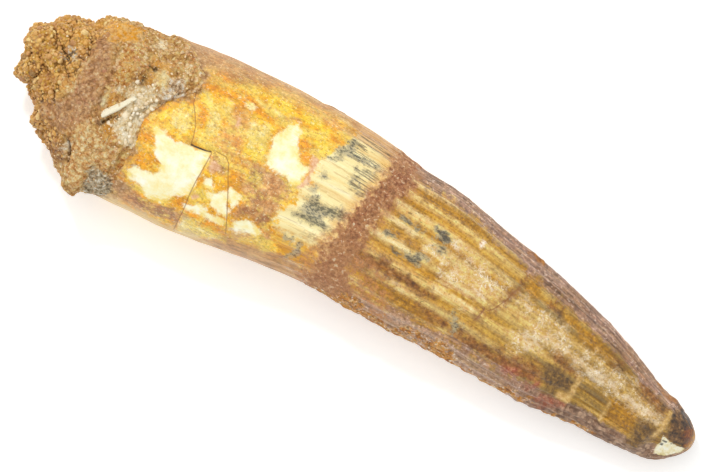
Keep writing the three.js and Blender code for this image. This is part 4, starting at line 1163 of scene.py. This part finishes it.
rootPatches = [
    # field, colours from dark to light, ragged edge, soft edge, size of the mottling
    ("tan", ("#CC863C", "#E6A652", "#F2C474"), 0.45, 0.6, 1.4),
    ("yellow", ("#F2AC28", "#FCD044", "#FDE46C"), 0.50, 0.6, 1.6),
    ("butter", ("#F4C454", "#FADC7E", "#FDF0B4"), 0.50, 0.6, 1.2),
    ("orange", ("#DA8218", "#F09E24", "#F8B63C"), 0.50, 0.5, 1.2),
    ("pale", ("#EED08C", "#F8E8AC", "#FBF2C8"), 0.60, 0.5, 1.4),
    ("rust", ("#A4683A", "#D69C60", "#F0C28A"), 0.42, 0.6, 1.3),
    ("darkRust", ("#845232", "#A47048", "#BE8E62"), 0.55, 0.8, 1.0),
]
bareRootPatches = [
    ("pink", ("#CE9868", "#E6B68C", "#F2CEA8"), 0.40, 0.4, 0.8),
    ("cream", ("#FAE8A0", "#FDF8CE", "#FFFDEA"), 0.45, 0.34, 2.6),
]
crownPatches = [
    ("ochre", ("#8A6024", "#A87A38", "#BE9250"), 0.80, 1.1, 1.0),
    ("brown", ("#643E1E", "#8E6036", "#B08458"), 1.00, 1.1, 0.9),
]
tipPatches = [
    ("dark", ("#382A18", "#705432", "#9E7C48"), 0.50, 0.8, 0.6),
    ("red", ("#86402E", "#A2604A", "#BA866C"), 0.85, 1.0, 0.5),
    ("buff", ("#A88450", "#CCA870", "#DEC08C"), 0.25, 0.3, 0.6),
    ("nodule", ("#6E4426", "#9C6A3C", "#BC8A58"), 0.75, 0.5, 0.6),
    ("tipDark", ("#100A06", "#3A2818", "#6E5034", "#A88458"), 0.60, 0.5, 1.1),
    ("ember", ("#54240E", "#7A421E", "#A0662C"), 0.60, 0.6, 0.6),
    ("amberRim", ("#7A4A1C", "#B07C34", "#CE9E50"), 0.40, 0.35, 0.6),
    ("white", ("#D8C890", "#F0E8C8", "#F4F6EC"), 0.18, 0.12, 1.4),
    ("frost", ("#C89C68", "#F0DCC0", "#FFF8EC"), 0.45, 0.25, 0.5),
    ("flecks", ("#1C1A18", "#34322C", "#50504A"), 0.10, 0.12, 0.6),
]


def layPatches(tree, coords, colour, patches):
    for field, tones, ragged, soft, size in patches:
        mask = maskOf(tree, coords, field, ragged, soft)
        colour = paint(tree, colour, mottle(tree, coords, size, tones), mask)
    return colour


def rootColours(tree, coords, around, brushed):
    # yellow and orange iron stain, rust and cream where the surface has flaked, brown bark at the sides
    colour = mottle(tree, coords, 3.0, ("#D28A34", "#EAA236", "#F6B840", "#FBCE58", "#FCE08A"), 8, 0.7)
    colour = layPatches(tree, coords, colour, rootPatches)
    colour = paint(tree, colour, "#EFA238", fieldShare(tree, "cream", -1.4, 0.0), 0.45)
    stains = noiseShare(tree, brushed, 2.6, 0.46, 0.60, 6)
    colour = paint(tree, colour, "#F8DA6C", stains, 0.75)
    bark = mottle(tree, around, 0.9, ("#7C5036", "#A6744C", "#C29064", "#DEB68A"))
    bark = paint(tree, bark, mottle(tree, coords, 3.0, ("#90603E", "#BE8A5C", "#DCB07E"), 8, 0.75), 0.5)
    colour = paint(tree, colour, bark, maskOf(tree, brushed, "bark", 0.55, 2.9, 1.8), 0.55)
    colour = paint(tree, colour, bark, maskOf(tree, around, "bark", 0.9, 1.3, 1.1), 0.65)
    colour = shaded(tree, brushed, colour, 1.2, 0.22, 5)
    colour = specks(tree, brushed, colour, "#9C5E24", 0.34, 0.58, 0.46)
    colour = specks(tree, coords, colour, "#FCEDBC", 0.40, 0.60, 0.45)
    colour = shaded(tree, coords, colour, 0.5, 0.24)
    colour = layPatches(tree, coords, colour, bareRootPatches)
    alongRim = fieldShare(tree, "cream", -0.3, 0.1), fieldShare(tree, "cream", 2.0, 0.1)
    colour = paint(tree, colour, "#F8DA6C", stains, *alongRim, 0.75)
    under = mottle(tree, around, 1.4, ("#B08A5E", "#D8BC90", "#EEDAB4"))
    under = paint(tree, under, mottle(tree, coords, 4.0, ("#BC8E56", "#E6C88E", "#F2E0BC"), 8, 0.75), 0.5)
    return paint(tree, colour, under, maskOf(tree, coords, "underPale", 0.9, 1.0), 0.85)


def crownColours(tree, coords, around, brushed, alongTooth):
    # straw and olive streaks along the flutes, painted highlights on the crests and where light would catch
    # on the pitted gloss, mauve edges, and the marks near the tip
    crest = addNode(tree, "Attribute", out="Fac", attribute_name="crest")
    far = addNode(tree, "MapRange", (alongTooth, 12 * metres, 44 * metres))
    streaks = pattern(tree, around, 1.5, 4, 0.50)
    near = addNode(tree, "ValToRGB", (streaks,), stops=[
        (0.32, "#8E5E26"), (0.42, "#B48240"), (0.50, "#CC9E54"), (0.58, "#E0B86C"), (0.70, "#F0D494")])
    olive = addNode(tree, "ValToRGB", (streaks,), stops=[
        (0.32, "#5C4420"), (0.44, "#806030"), (0.54, "#9A7A40"), (0.68, "#BE9A60")])
    near = paint(tree, near, mottle(tree, around, 3.4, ("#A87430", "#CC9C4E", "#E2C07C")), 0.35)
    # paler along the flute crests: painted highlight
    near = paint(tree, near, "#F4DC9C", crest, 0.58)
    colour = paint(tree, near, olive, far, 0.80)
    # fine dark lines along the flutes, left out where the highlights are painted
    colour = paint(tree, colour, "#704A18", noiseShare(tree, around, 0.36, 0.56, 0.64, 2, 0.6),
                   fieldShare(tree, "paintedGlint", 2.0, -4.0), 0.42)
    # pale stripes along the flutes: painted highlight
    colour = paint(tree, colour, "#F4E2B4", maskOf(tree, brushed, "straw", 0.8, 0.6, 1.2), 0.50)
    colour = layPatches(tree, coords, colour, crownPatches)
    colour = grainy(tree, around, colour, 0.55, 0.22)
    # painted highlights where light would catch on the pitted gloss: a pale veil, pale blots and bright
    # winding lines
    paintedGlint = maskOf(tree, coords, "paintedGlint", 1.0, 1.3, 3.0)
    blots = noiseShare(tree, coords, 3.0, 0.46, 0.60)
    colour = paint(tree, colour, "#DDB87C", paintedGlint, 0.25)
    colour = paint(tree, colour, "#EAD09C", paintedGlint, blots, 0.34)
    colour = grainy(tree, coords, colour, 0.7, 0.24)
    colour = paint(tree, colour, "#FFF8E8", paintedGlint, blots, wormsOf(tree, coords, 1.0), 0.9)
    colour = paint(tree, colour, "#F6E2BC", paintedGlint, wormsOf(tree, coords, 1.3), 0.4)
    # painted sheen along the bright ridge of the crown
    colour = paint(tree, colour, "#F0DEC2", maskOf(tree, coords, "paintedShine", 0.7, 0.6, 1.2),
                   noiseShare(tree, brushed, 0.8, 0.40, 0.56), 0.55)
    mauve = mottle(tree, around, 0.8, ("#5A4230", "#8A6A54", "#A88A72", "#CEB69E"))
    broad = mottle(tree, brushed, 6.0, ("#684A38", "#926E50", "#A8867A", "#AA8C68"), 8, 0.72)
    mauve = grainy(tree, around, paint(tree, mauve, broad, 0.5), 0.4, 0.35)
    mauve = grainy(tree, coords, mauve, 0.9, 0.4)
    mauve = specks(tree, coords, mauve, "#DCC8B8", 0.5, 0.60, 0.5)
    colour = paint(tree, colour, mauve, maskOf(tree, coords, "mauve", 1.0, 0.8))
    # the pebbles' creases get painted shade
    pebbles = sandOf(tree, coords, 0.7, ("#6C4E38", "#957660", "#BA9C82"), "#4A3222")[0]
    colour = paint(tree, colour, pebbles, maskOf(tree, coords, "pebbly", 0.8, 0.6), 0.8)
    lilac = mottle(tree, around, 1.2, ("#86664E", "#B4907A", "#D0B2A4"))
    lilac = shaded(tree, coords, lilac, 0.7, 0.42)
    lilac = specks(tree, coords, lilac, "#E8D2C0", 0.5, 0.60, 0.6)
    lilac = specks(tree, brushed, lilac, "#64422E", 0.6, 0.58, 0.6)
    colour = paint(tree, colour, lilac, maskOf(tree, coords, "lilac", 1.2, 1.0), 0.85)
    colour = specks(tree, coords, colour, "#543818", 0.4, 0.62, 0.5)
    colour = layPatches(tree, coords, colour, tipPatches)
    colour = grainy(tree, coords, colour, 0.5, 0.20)
    return addNode(tree, "HueSaturation", {"Color": colour, "Saturation": 1.08})


def fossilToothMaterial():
    # Fossil enamel on the crown and fossil bone on the root: apatite stained by iron in the rock. The
    # enamel was polished by life and by wear, so it is glossy; the bone is satin; the sand on it is dull.
    material, tree, shader = newMaterial("fossil enamel and bone")
    coords = addNode(tree, "TexCoord", out="Object")
    around = addNode(tree, "Attribute", out="Vector", attribute_name="around")
    brushed = addNode(tree, "Attribute", out="Vector", attribute_name="brushed")
    alongTooth = addNode(tree, "SeparateXYZ", (coords,), "X")
    acrossTooth = addNode(tree, "SeparateXYZ", (coords,), "Y")

    # the neck, where root gives way to pale enamel, and that to the crown past the band
    paleBase = mottle(tree, around, 0.9, ("#E6C482", "#F5E0A0", "#FAECB2", "#FDF5CC"))
    gold = mottle(tree, around, 1.0, ("#9A6224", "#DC9C36", "#F8CE60"))
    paleBase = paint(tree, paleBase, gold, maskOf(tree, coords, "gold", 1.0, 1.0))
    paleBase = paint(tree, paleBase, "#EDB458", fieldShare(tree, "band", -3.0, -0.5), 0.55)
    paleBase = paint(tree, paleBase, "#C0944C", noiseShare(tree, around, 0.45, 0.55, 0.62, 3, 0.65), 0.45)
    tan = mottle(tree, around, 0.7, ("#946638", "#C89860", "#E4C08C"))
    paleBase = paint(tree, paleBase, tan, fieldShare(tree, "bark", -2.2, 0.6))
    paleBase = paint(tree, paleBase, "#4A3A28", maskOf(tree, coords, "hatch", 0.5, 0.6),
                     noiseShare(tree, around, 0.32, 0.52, 0.57, 3, 0.6), 0.80)
    pastBand = addNode(tree, "MapRange", (alongTooth, -2 * metres, 1 * metres), **eased)
    enamel = paint(tree, paleBase, crownColours(tree, coords, around, brushed, alongTooth), pastBand)
    colour = paint(tree, rootColours(tree, coords, around, brushed), enamel,
                   maskOf(tree, coords, "enamel", 1.1, 0.5))
    lowNeck = mottle(tree, around, 0.8, ("#865A36", "#B68456", "#DAB080"))
    lowNeck = paint(tree, lowNeck, mottle(tree, coords, 3.0, ("#94683E", "#C09060", "#E2BC8C"), 8, 0.75), 0.5)
    lowNeck = grainy(tree, brushed, lowNeck, 0.8, 0.35)
    colour = paint(tree, colour, lowNeck, maskOf(tree, brushed, "lowNeck", 1.8, 0.9, 2.4), 0.9)

    # mineral stain that lies as dark dots, thickest inside its patches
    thicker = fieldShare(tree, "grey", 0.0, 0.9, -0.03, 0.04)
    dots = addNode(tree, "Math", (pattern(tree, brushed, 0.34, 3, 0.7), thicker), operation="ADD")
    stain = paint(tree, "#B4A680", "#4A4A3E", addNode(tree, "MapRange", (dots, 0.46, 0.58), **eased))
    colour = paint(tree, colour, stain, maskOf(tree, coords, "grey", 0.8, 0.55, 1.1), 0.88)
    soot = mottle(tree, brushed, 0.3, ("#1E1A14", "#3C362C", "#9A8C6C"))
    colour = paint(tree, colour, soot, maskOf(tree, brushed, "soot", 0.8, 0.40, 0.6), 0.88)

    # sand cemented on: a film beside the band, the band, the crust below, and the rim by the lump
    colour = paint(tree, colour, grainy(tree, coords, "#B47C4C", 0.4, 0.5),
                   fieldShare(tree, "film", -2.6, 0.8), noiseShare(tree, coords, 1.1, 0.42, 0.56, 6), 0.8)
    bandGrains = pattern(tree, coords, 0.6, 4, 0.75)
    band = addNode(tree, "ValToRGB", (bandGrains,), stops=[
        (0.34, "#744430"), (0.45, "#A66E4A"), (0.55, "#C49068"), (0.66, "#E8C0A0")])
    warm = mottle(tree, coords, 2.4, ("#8A4E32", "#AC7250", "#C08A5A", "#DCAE88"), 7, 0.8)
    warm = specks(tree, coords, warm, "#F2D8B8", 0.7, 0.61, 0.8)
    band = grainy(tree, coords, paint(tree, band, warm, 0.6), 0.7, 0.38)
    lowSide = addNode(tree, "MapRange", (acrossTooth, 4 * metres, -3 * metres), **eased)
    band = paint(tree, band, "#D29C6C", lowSide, 0.22)
    bandMask = maskOf(tree, coords, "band", 1.3, 1.0, 1.3)
    colour = paint(tree, colour, band, bandMask)
    crust = mottle(tree, coords, 1.5, ("#683A20", "#AA6C3C", "#DA9648", "#E2B270", "#C89A74"), 8, 0.78)
    crust = shaded(tree, coords, crust, 0.5, 0.50)
    for tone, size, cover, strength in (("#FFE4B0", 0.9, 0.57, 0.5), ("#4E2C18", 0.8, 0.60, 0.6),
                                        ("#FFF2DC", 0.7, 0.59, 0.85)):
        crust = specks(tree, coords, crust, tone, size, cover, strength)
    crustMask = maskOf(tree, coords, "crust", 1.4, 0.8, 1.1)
    colour = paint(tree, colour, crust, crustMask)
    # the rim's creases get painted shade
    rim = sandOf(tree, coords, 0.5, ("#A07448", "#C0946A", "#D6AC84", "#F0D8B4"), "#805838")[0]
    rim = paint(tree, rim, mottle(tree, coords, 2.0, ("#9A7048", "#C49668", "#DEB07A"), 7, 0.75), 0.5)
    rimMask = maskOf(tree, coords, "rim", 1.3, 1.3, 1.2)
    colour = paint(tree, colour, rim, rimMask, 0.92)
    sandMask = addNode(tree, "Math", (crustMask, rimMask), operation="MAXIMUM")
    sandMask = addNode(tree, "Math", (bandMask, sandMask), operation="MAXIMUM")

    # the cracks: a soft brown halo on the crown, a thin line, and painted shade in the stretch that stands
    # open
    offCrack = addNode(tree, "Attribute", out="Fac", attribute_name="crackSide")
    offCrack = addNode(tree, "Math", (offCrack,), operation="ABSOLUTE")
    crackNear = addNode(tree, "Attribute", out="Fac", attribute_name="crackNear")
    halo = addNode(tree, "MapRange", (offCrack, 1.5, 0.1), **eased)
    crackLine = addNode(tree, "MapRange", (offCrack, 0.17, 0.03), **eased)
    colour = paint(tree, colour, "#8E5E34", halo, crackNear, pastBand,
                   noiseShare(tree, coords, 0.9, 0.36, 0.56, 5, 0.7), 0.75)
    colour = paint(tree, colour, "#8A5628", crackLine, crackNear, 0.65)
    colour = paint(tree, colour, "#20170F", fieldShare(tree, "gap", 0.55, 0.85))

    # the enamel is glossy, the bone satin, the worn tip and edges duller, and the sand rough
    gloss = fieldShare(tree, "enamel", -0.3, 0.3, 0.50, 0.24)
    varied = addNode(tree, "Math", (pattern(tree, coords, 1.2, 4), 0.4, -0.2), operation="MULTIPLY_ADD")
    varied = addNode(tree, "Math", (gloss, varied), operation="ADD")
    worn = addNode(tree, "Math", (maskOf(tree, coords, "tipDark", 0.3, 0.6),
                                  maskOf(tree, coords, "mauve", 0.5, 0.8)), operation="MAXIMUM")
    rough = addNode(tree, "Math", (worn, 0.30, varied), operation="MULTIPLY_ADD")

    wrinkles = addNode(tree, "Bump", {"Height": pattern(tree, around, 0.5, 4), "Distance": 0.12 * metres,
                                      "Strength": 0.7})
    stipple = addNode(tree, "Bump", {"Height": pattern(tree, coords, 0.55, 4, 0.7), "Distance": 0.14 * metres,
                                     "Strength": 0.7, "Normal": wrinkles})
    grit = addNode(tree, "Bump", {"Height": bandGrains, "Distance": 0.6 * metres, "Strength": sandMask,
                                  "Normal": stipple})
    connect(tree, shader, {
        "Base Color": addNode(tree, "HueSaturation", {"Color": colour, "Saturation": 1.05}),
        "Roughness": addNode(tree, "Mix", {0: sandMask, 2: rough, 3: 0.9}),
        "IOR": 1.6,  # apatite is 1.63
        "Normal": grit})
    return material


softSands = [
    # field, colours from dark to light, strength; laid below the painted crease shade
    ("ledge", ("#7C5034", "#A07052", "#B88A6A"), 0.6),
    ("straw", ("#CC9C5C", "#ECC48A", "#FCE2B0"), 0.75),
    ("ruddySand", ("#6A3A26", "#A26A4A", "#CC9C6C"), 0.6),
    ("pepper", ("#B2926A", "#E6D0AC", "#FFF8E8"), 0.85),
    ("tawny", ("#C4864A", "#E0A866", "#F0C890"), 0.7),
    ("greySand", ("#6A604E", "#B8A88C", "#F0E6D2"), 0.85),
]
plainSands = [
    # field, colours from dark to light, size of the mottling, ragged edge, strength; laid over the painted
    # crease shade
    ("blotch", ("#D88E3C", "#F0AE54", "#F8C67C", "#FCDCA8"), 1.5, 0.85, 0.85),
    ("amberSand", ("#D08A42", "#E8AE62", "#F4C684"), 1.2, 0.6, 0.8),
    ("quartz", ("#DEBC86", "#F4DCAC", "#FCEECE", "#FFF8E4"), 0.8, 0.6, 0.95),
    ("creamBit", ("#F4C272", "#FDE6AC", "#FFF6D0"), 1.6, 0.6, 0.95),
    # painted shadow in the pits and beside the splinter
    ("shadowPits", ("#1E140C", "#2E2014", "#4A3420"), 0.8, 0.6, 0.9),
]


def sandstoneMaterial():
    # Coarse river sandstone: quartz grains coated and cemented by iron oxide, broken and not polished,
    # so it is dull, with ochre grain tops and painted brown shade in the creases between them.
    material, tree, shader = newMaterial("iron-cemented sandstone")
    coords = addNode(tree, "TexCoord", out="Object")
    colour, offGrain = sandOf(tree, coords, 0.62, ("#96663C", "#CE9E66", "#E4BC88", "#FCE8C6"), "#5E3A1C")
    warm = mottle(tree, coords, 3.2, ("#BE8456", "#E2AE70", "#ECC27E", "#F6D8A6"), 8, 0.75)
    colour = paint(tree, colour, warm, 0.5)
    ruddy = mottle(tree, coords, 3.4, ("#94603C", "#C28A42", "#DEAC4E", "#C8965E"))
    coarse = addNode(tree, "Attribute", out="Fac", attribute_name="coarse")
    colour = paint(tree, colour, ruddy, coarse, 0.55)
    fine = sandOf(tree, coords, 0.40, ("#B4845C", "#C89A70", "#D6AA84", "#E8C4A2"), "#8E6244")[0]
    fine = paint(tree, fine, mottle(tree, coords, 1.8, ("#9E7050", "#C2926A", "#DCB084"), 7, 0.75), 0.45)
    colour = paint(tree, colour, fine, maskOf(tree, coords, "mauveSand", 1.0, 1.1), 0.85)
    for field, tones, strength in softSands:
        patch = mottle(tree, coords, 0.8, tones)
        colour = paint(tree, colour, patch, maskOf(tree, coords, field, 0.45, 0.4, 1.2), strength)
    # painted shade in the creases between the grains and down the clefts
    crease = fieldShare(tree, "grain", 0.40, 0.03)
    colour = paint(tree, colour, "#56341A", crease, 0.75)
    colour = grainy(tree, coords, colour, 0.8, 0.4)
    for field, tones, size, ragged, strength in plainSands:
        # the patches get a little painted shade in their creases too
        patch = paint(tree, mottle(tree, coords, size, tones), "#8A5A30", crease, 0.25)
        colour = paint(tree, colour, patch, maskOf(tree, coords, field, ragged, 0.5, 1.2), strength)
    bump = addNode(tree, "Bump", {"Height": offGrain, "Distance": 0.6 * metres, "Strength": 0.8}, invert=True)
    pits = addNode(tree, "Bump", {"Height": pattern(tree, coords, 0.9, 5, 0.75), "Distance": 1.0 * metres,
                                  "Strength": 0.7, "Normal": bump})
    connect(tree, shader, {
        "Base Color": addNode(tree, "HueSaturation", {"Color": colour, "Saturation": 1.08}),
        "Roughness": 0.9, "Specular IOR Level": 0.3, "Normal": pits})
    return material


def grainMaterial(name, tones, roughness):
    # Single sand grains: quartz that is stained by the iron cement, each in a tone of its own, with the
    # slight gloss of a water-worn grain.
    material, tree, shader = newMaterial(name)
    coords = addNode(tree, "TexCoord", out="Object")
    tone = addNode(tree, "Attribute", out="Fac", attribute_name="tone")
    colour = addNode(tree, "ValToRGB", (tone,), stops=spread(tones))
    colour = paint(tree, colour, mottle(tree, coords, 0.5, (tones[0], tones[-1])), 0.35)
    bump = addNode(tree, "Bump", {"Height": pattern(tree, coords, 0.25, 3), "Distance": 0.1 * metres,
                                  "Strength": 0.7})
    connect(tree, shader, {"Base Color": colour, "Roughness": roughness, "Specular IOR Level": 0.3,
                           "Normal": bump})
    return material


def boneMaterial():
    # Fossil bone: dense, pale and satin, with fine lengthwise fibres that hold a little dirt.
    material, tree, shader = newMaterial("fossil bone")
    fibre = addNode(tree, "Attribute", out="Vector", attribute_name="fibre")
    coords = addNode(tree, "TexCoord", out="Object")
    lines = pattern(tree, fibre, 0.5, 5, 0.65)
    colour = addNode(tree, "ValToRGB", (lines,), stops=[
        (0.30, "#D2BC88"), (0.42, "#FAEEC8"), (0.58, "#FFF9E2")])
    colour = specks(tree, coords, colour, "#CCA868", 0.7, 0.60, 0.6)
    bump = addNode(tree, "Bump", {"Height": lines, "Distance": 0.15 * metres, "Strength": 0.6})
    connect(tree, shader, {"Base Color": colour, "Roughness": 0.5, "Normal": bump})
    return material


stage = {
    "turn": math.radians(29),  # the tooth lies across the view at this angle
    "centre": (-0.89, -0.11), "viewWide": 119.07, "viewAt": 12.0, "cameraHigh": 3000, "sensor": 36,
    "paper": "#FAFAF8", "paperGlow": 0.3, "worldStrength": 0.72,
    "lights": [  # name, place in metres in the view's own directions (right, up, high), size, power
        ("key", (-0.20, 0.62, 1.10), 0.11, 4.6),
        ("soft", (-0.10, 0.30, 1.40), 0.80, 3.4),
    ],
}


def setStage():
    scene = bpy.context.scene
    deselectAll()
    place = [*stage["centre"], stage["cameraHigh"]]
    bpy.ops.object.camera_add(location=[value * metres for value in place], rotation=(0, 0, stage["turn"]))
    camera = bpy.context.object
    camera.data.sensor_width = stage["sensor"]
    camera.data.lens = stage["sensor"] * (stage["cameraHigh"] - stage["viewAt"]) / stage["viewWide"]
    camera.data.clip_end = 20
    scene.camera = camera
    bpy.ops.mesh.primitive_plane_add(size=4)
    floor = bpy.context.object
    floor.name = "floor"
    # plain white paper, lit from the back a little so that it stays white
    material, tree, shader = newMaterial("white paper")
    connect(tree, shader, {"Base Color": stage["paper"], "Roughness": 1.0, "Specular IOR Level": 0.0,
                           "Emission Color": "#FFFFFF", "Emission Strength": stage["paperGlow"]})
    floor.data.materials.append(material)
    world = bpy.data.worlds.new("studio")
    scene.world = world
    world.use_nodes = True
    connect(world.node_tree, world.node_tree.nodes["Background"],
            {"Color": "#FFFFFF", "Strength": stage["worldStrength"]})
    turn = Matrix.Rotation(stage["turn"], 3, "Z")
    for name, place, size, power in stage["lights"]:
        spot = turn @ Vector(place)
        bpy.ops.object.light_add(type="AREA", location=spot)
        light = bpy.context.object
        light.name = name
        light.data.size = size
        light.data.energy = power
        light.rotation_euler = (-spot).to_track_quat("-Z", "Y").to_euler()
    scene.view_settings.view_transform = "Standard"
    print("stage: camera, paper and", len(stage["lights"]), "lights")


setStage()
toothPiece = makeTooth()
lumpPiece = makeLump()
splinterPiece = makeSplinter()

# where each kind of grain is wanted
coarse = readField(lumpPiece, "coarse")
quartz = smooth(-0.4, 0.4, readField(lumpPiece, "quartz"))
fine = smooth(-0.5, 0.5, readField(lumpPiece, "fineSand"))
bare = smooth(-0.3, 0.4, np.maximum(readField(lumpPiece, "blotch"), readField(lumpPiece, "creamBit")))
plainSand = (1 - 0.95 * fine) * (1 - 0.8 * coarse) * (1 - quartz) * (1 - 0.75 * bare)
band = smooth(-0.5, 0.4, readField(toothPiece, "band"))
crust = smooth(-0.2, 0.4, readField(toothPiece, "crust"))
rim = smooth(-0.6, 0.8, readField(toothPiece, "rim"))
granules = scatterGrains("ochreGranules", lumpPiece, coarse ** 2)
sandGrains = scatterGrains("sandGrains", lumpPiece, plainSand)
quartzGrains = scatterGrains("quartzGrains", lumpPiece, quartz)
neckSand = scatterGrains("neckSand", toothPiece, band + 0.7 * crust)
rimSand = scatterGrains("rimSand", toothPiece, rim)

toothPiece.data.materials.append(fossilToothMaterial())
lumpPiece.data.materials.append(sandstoneMaterial())
splinterPiece.data.materials.append(boneMaterial())
for piece in (granules, sandGrains, quartzGrains, neckSand):
    piece.data.materials.append(grainMaterial(*grainSets[piece.name]["stone"]))
rimSand.data.materials.append(sandGrains.data.materials[0])
print("materials laid")

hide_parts("tooth")
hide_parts("sandstone_matrix")
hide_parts("bone_splinter")
for piece, slot in ((toothPiece, "fossil_enamel"), (lumpPiece, "sandstone"), (splinterPiece, "fossil_bone"),
                    (granules, "sandstone"), (sandGrains, "sandstone"), (quartzGrains, "sandstone"),
                    (neckSand, "sandstone"), (rimSand, "sandstone")):
    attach(piece, "root")

print("all pieces made")
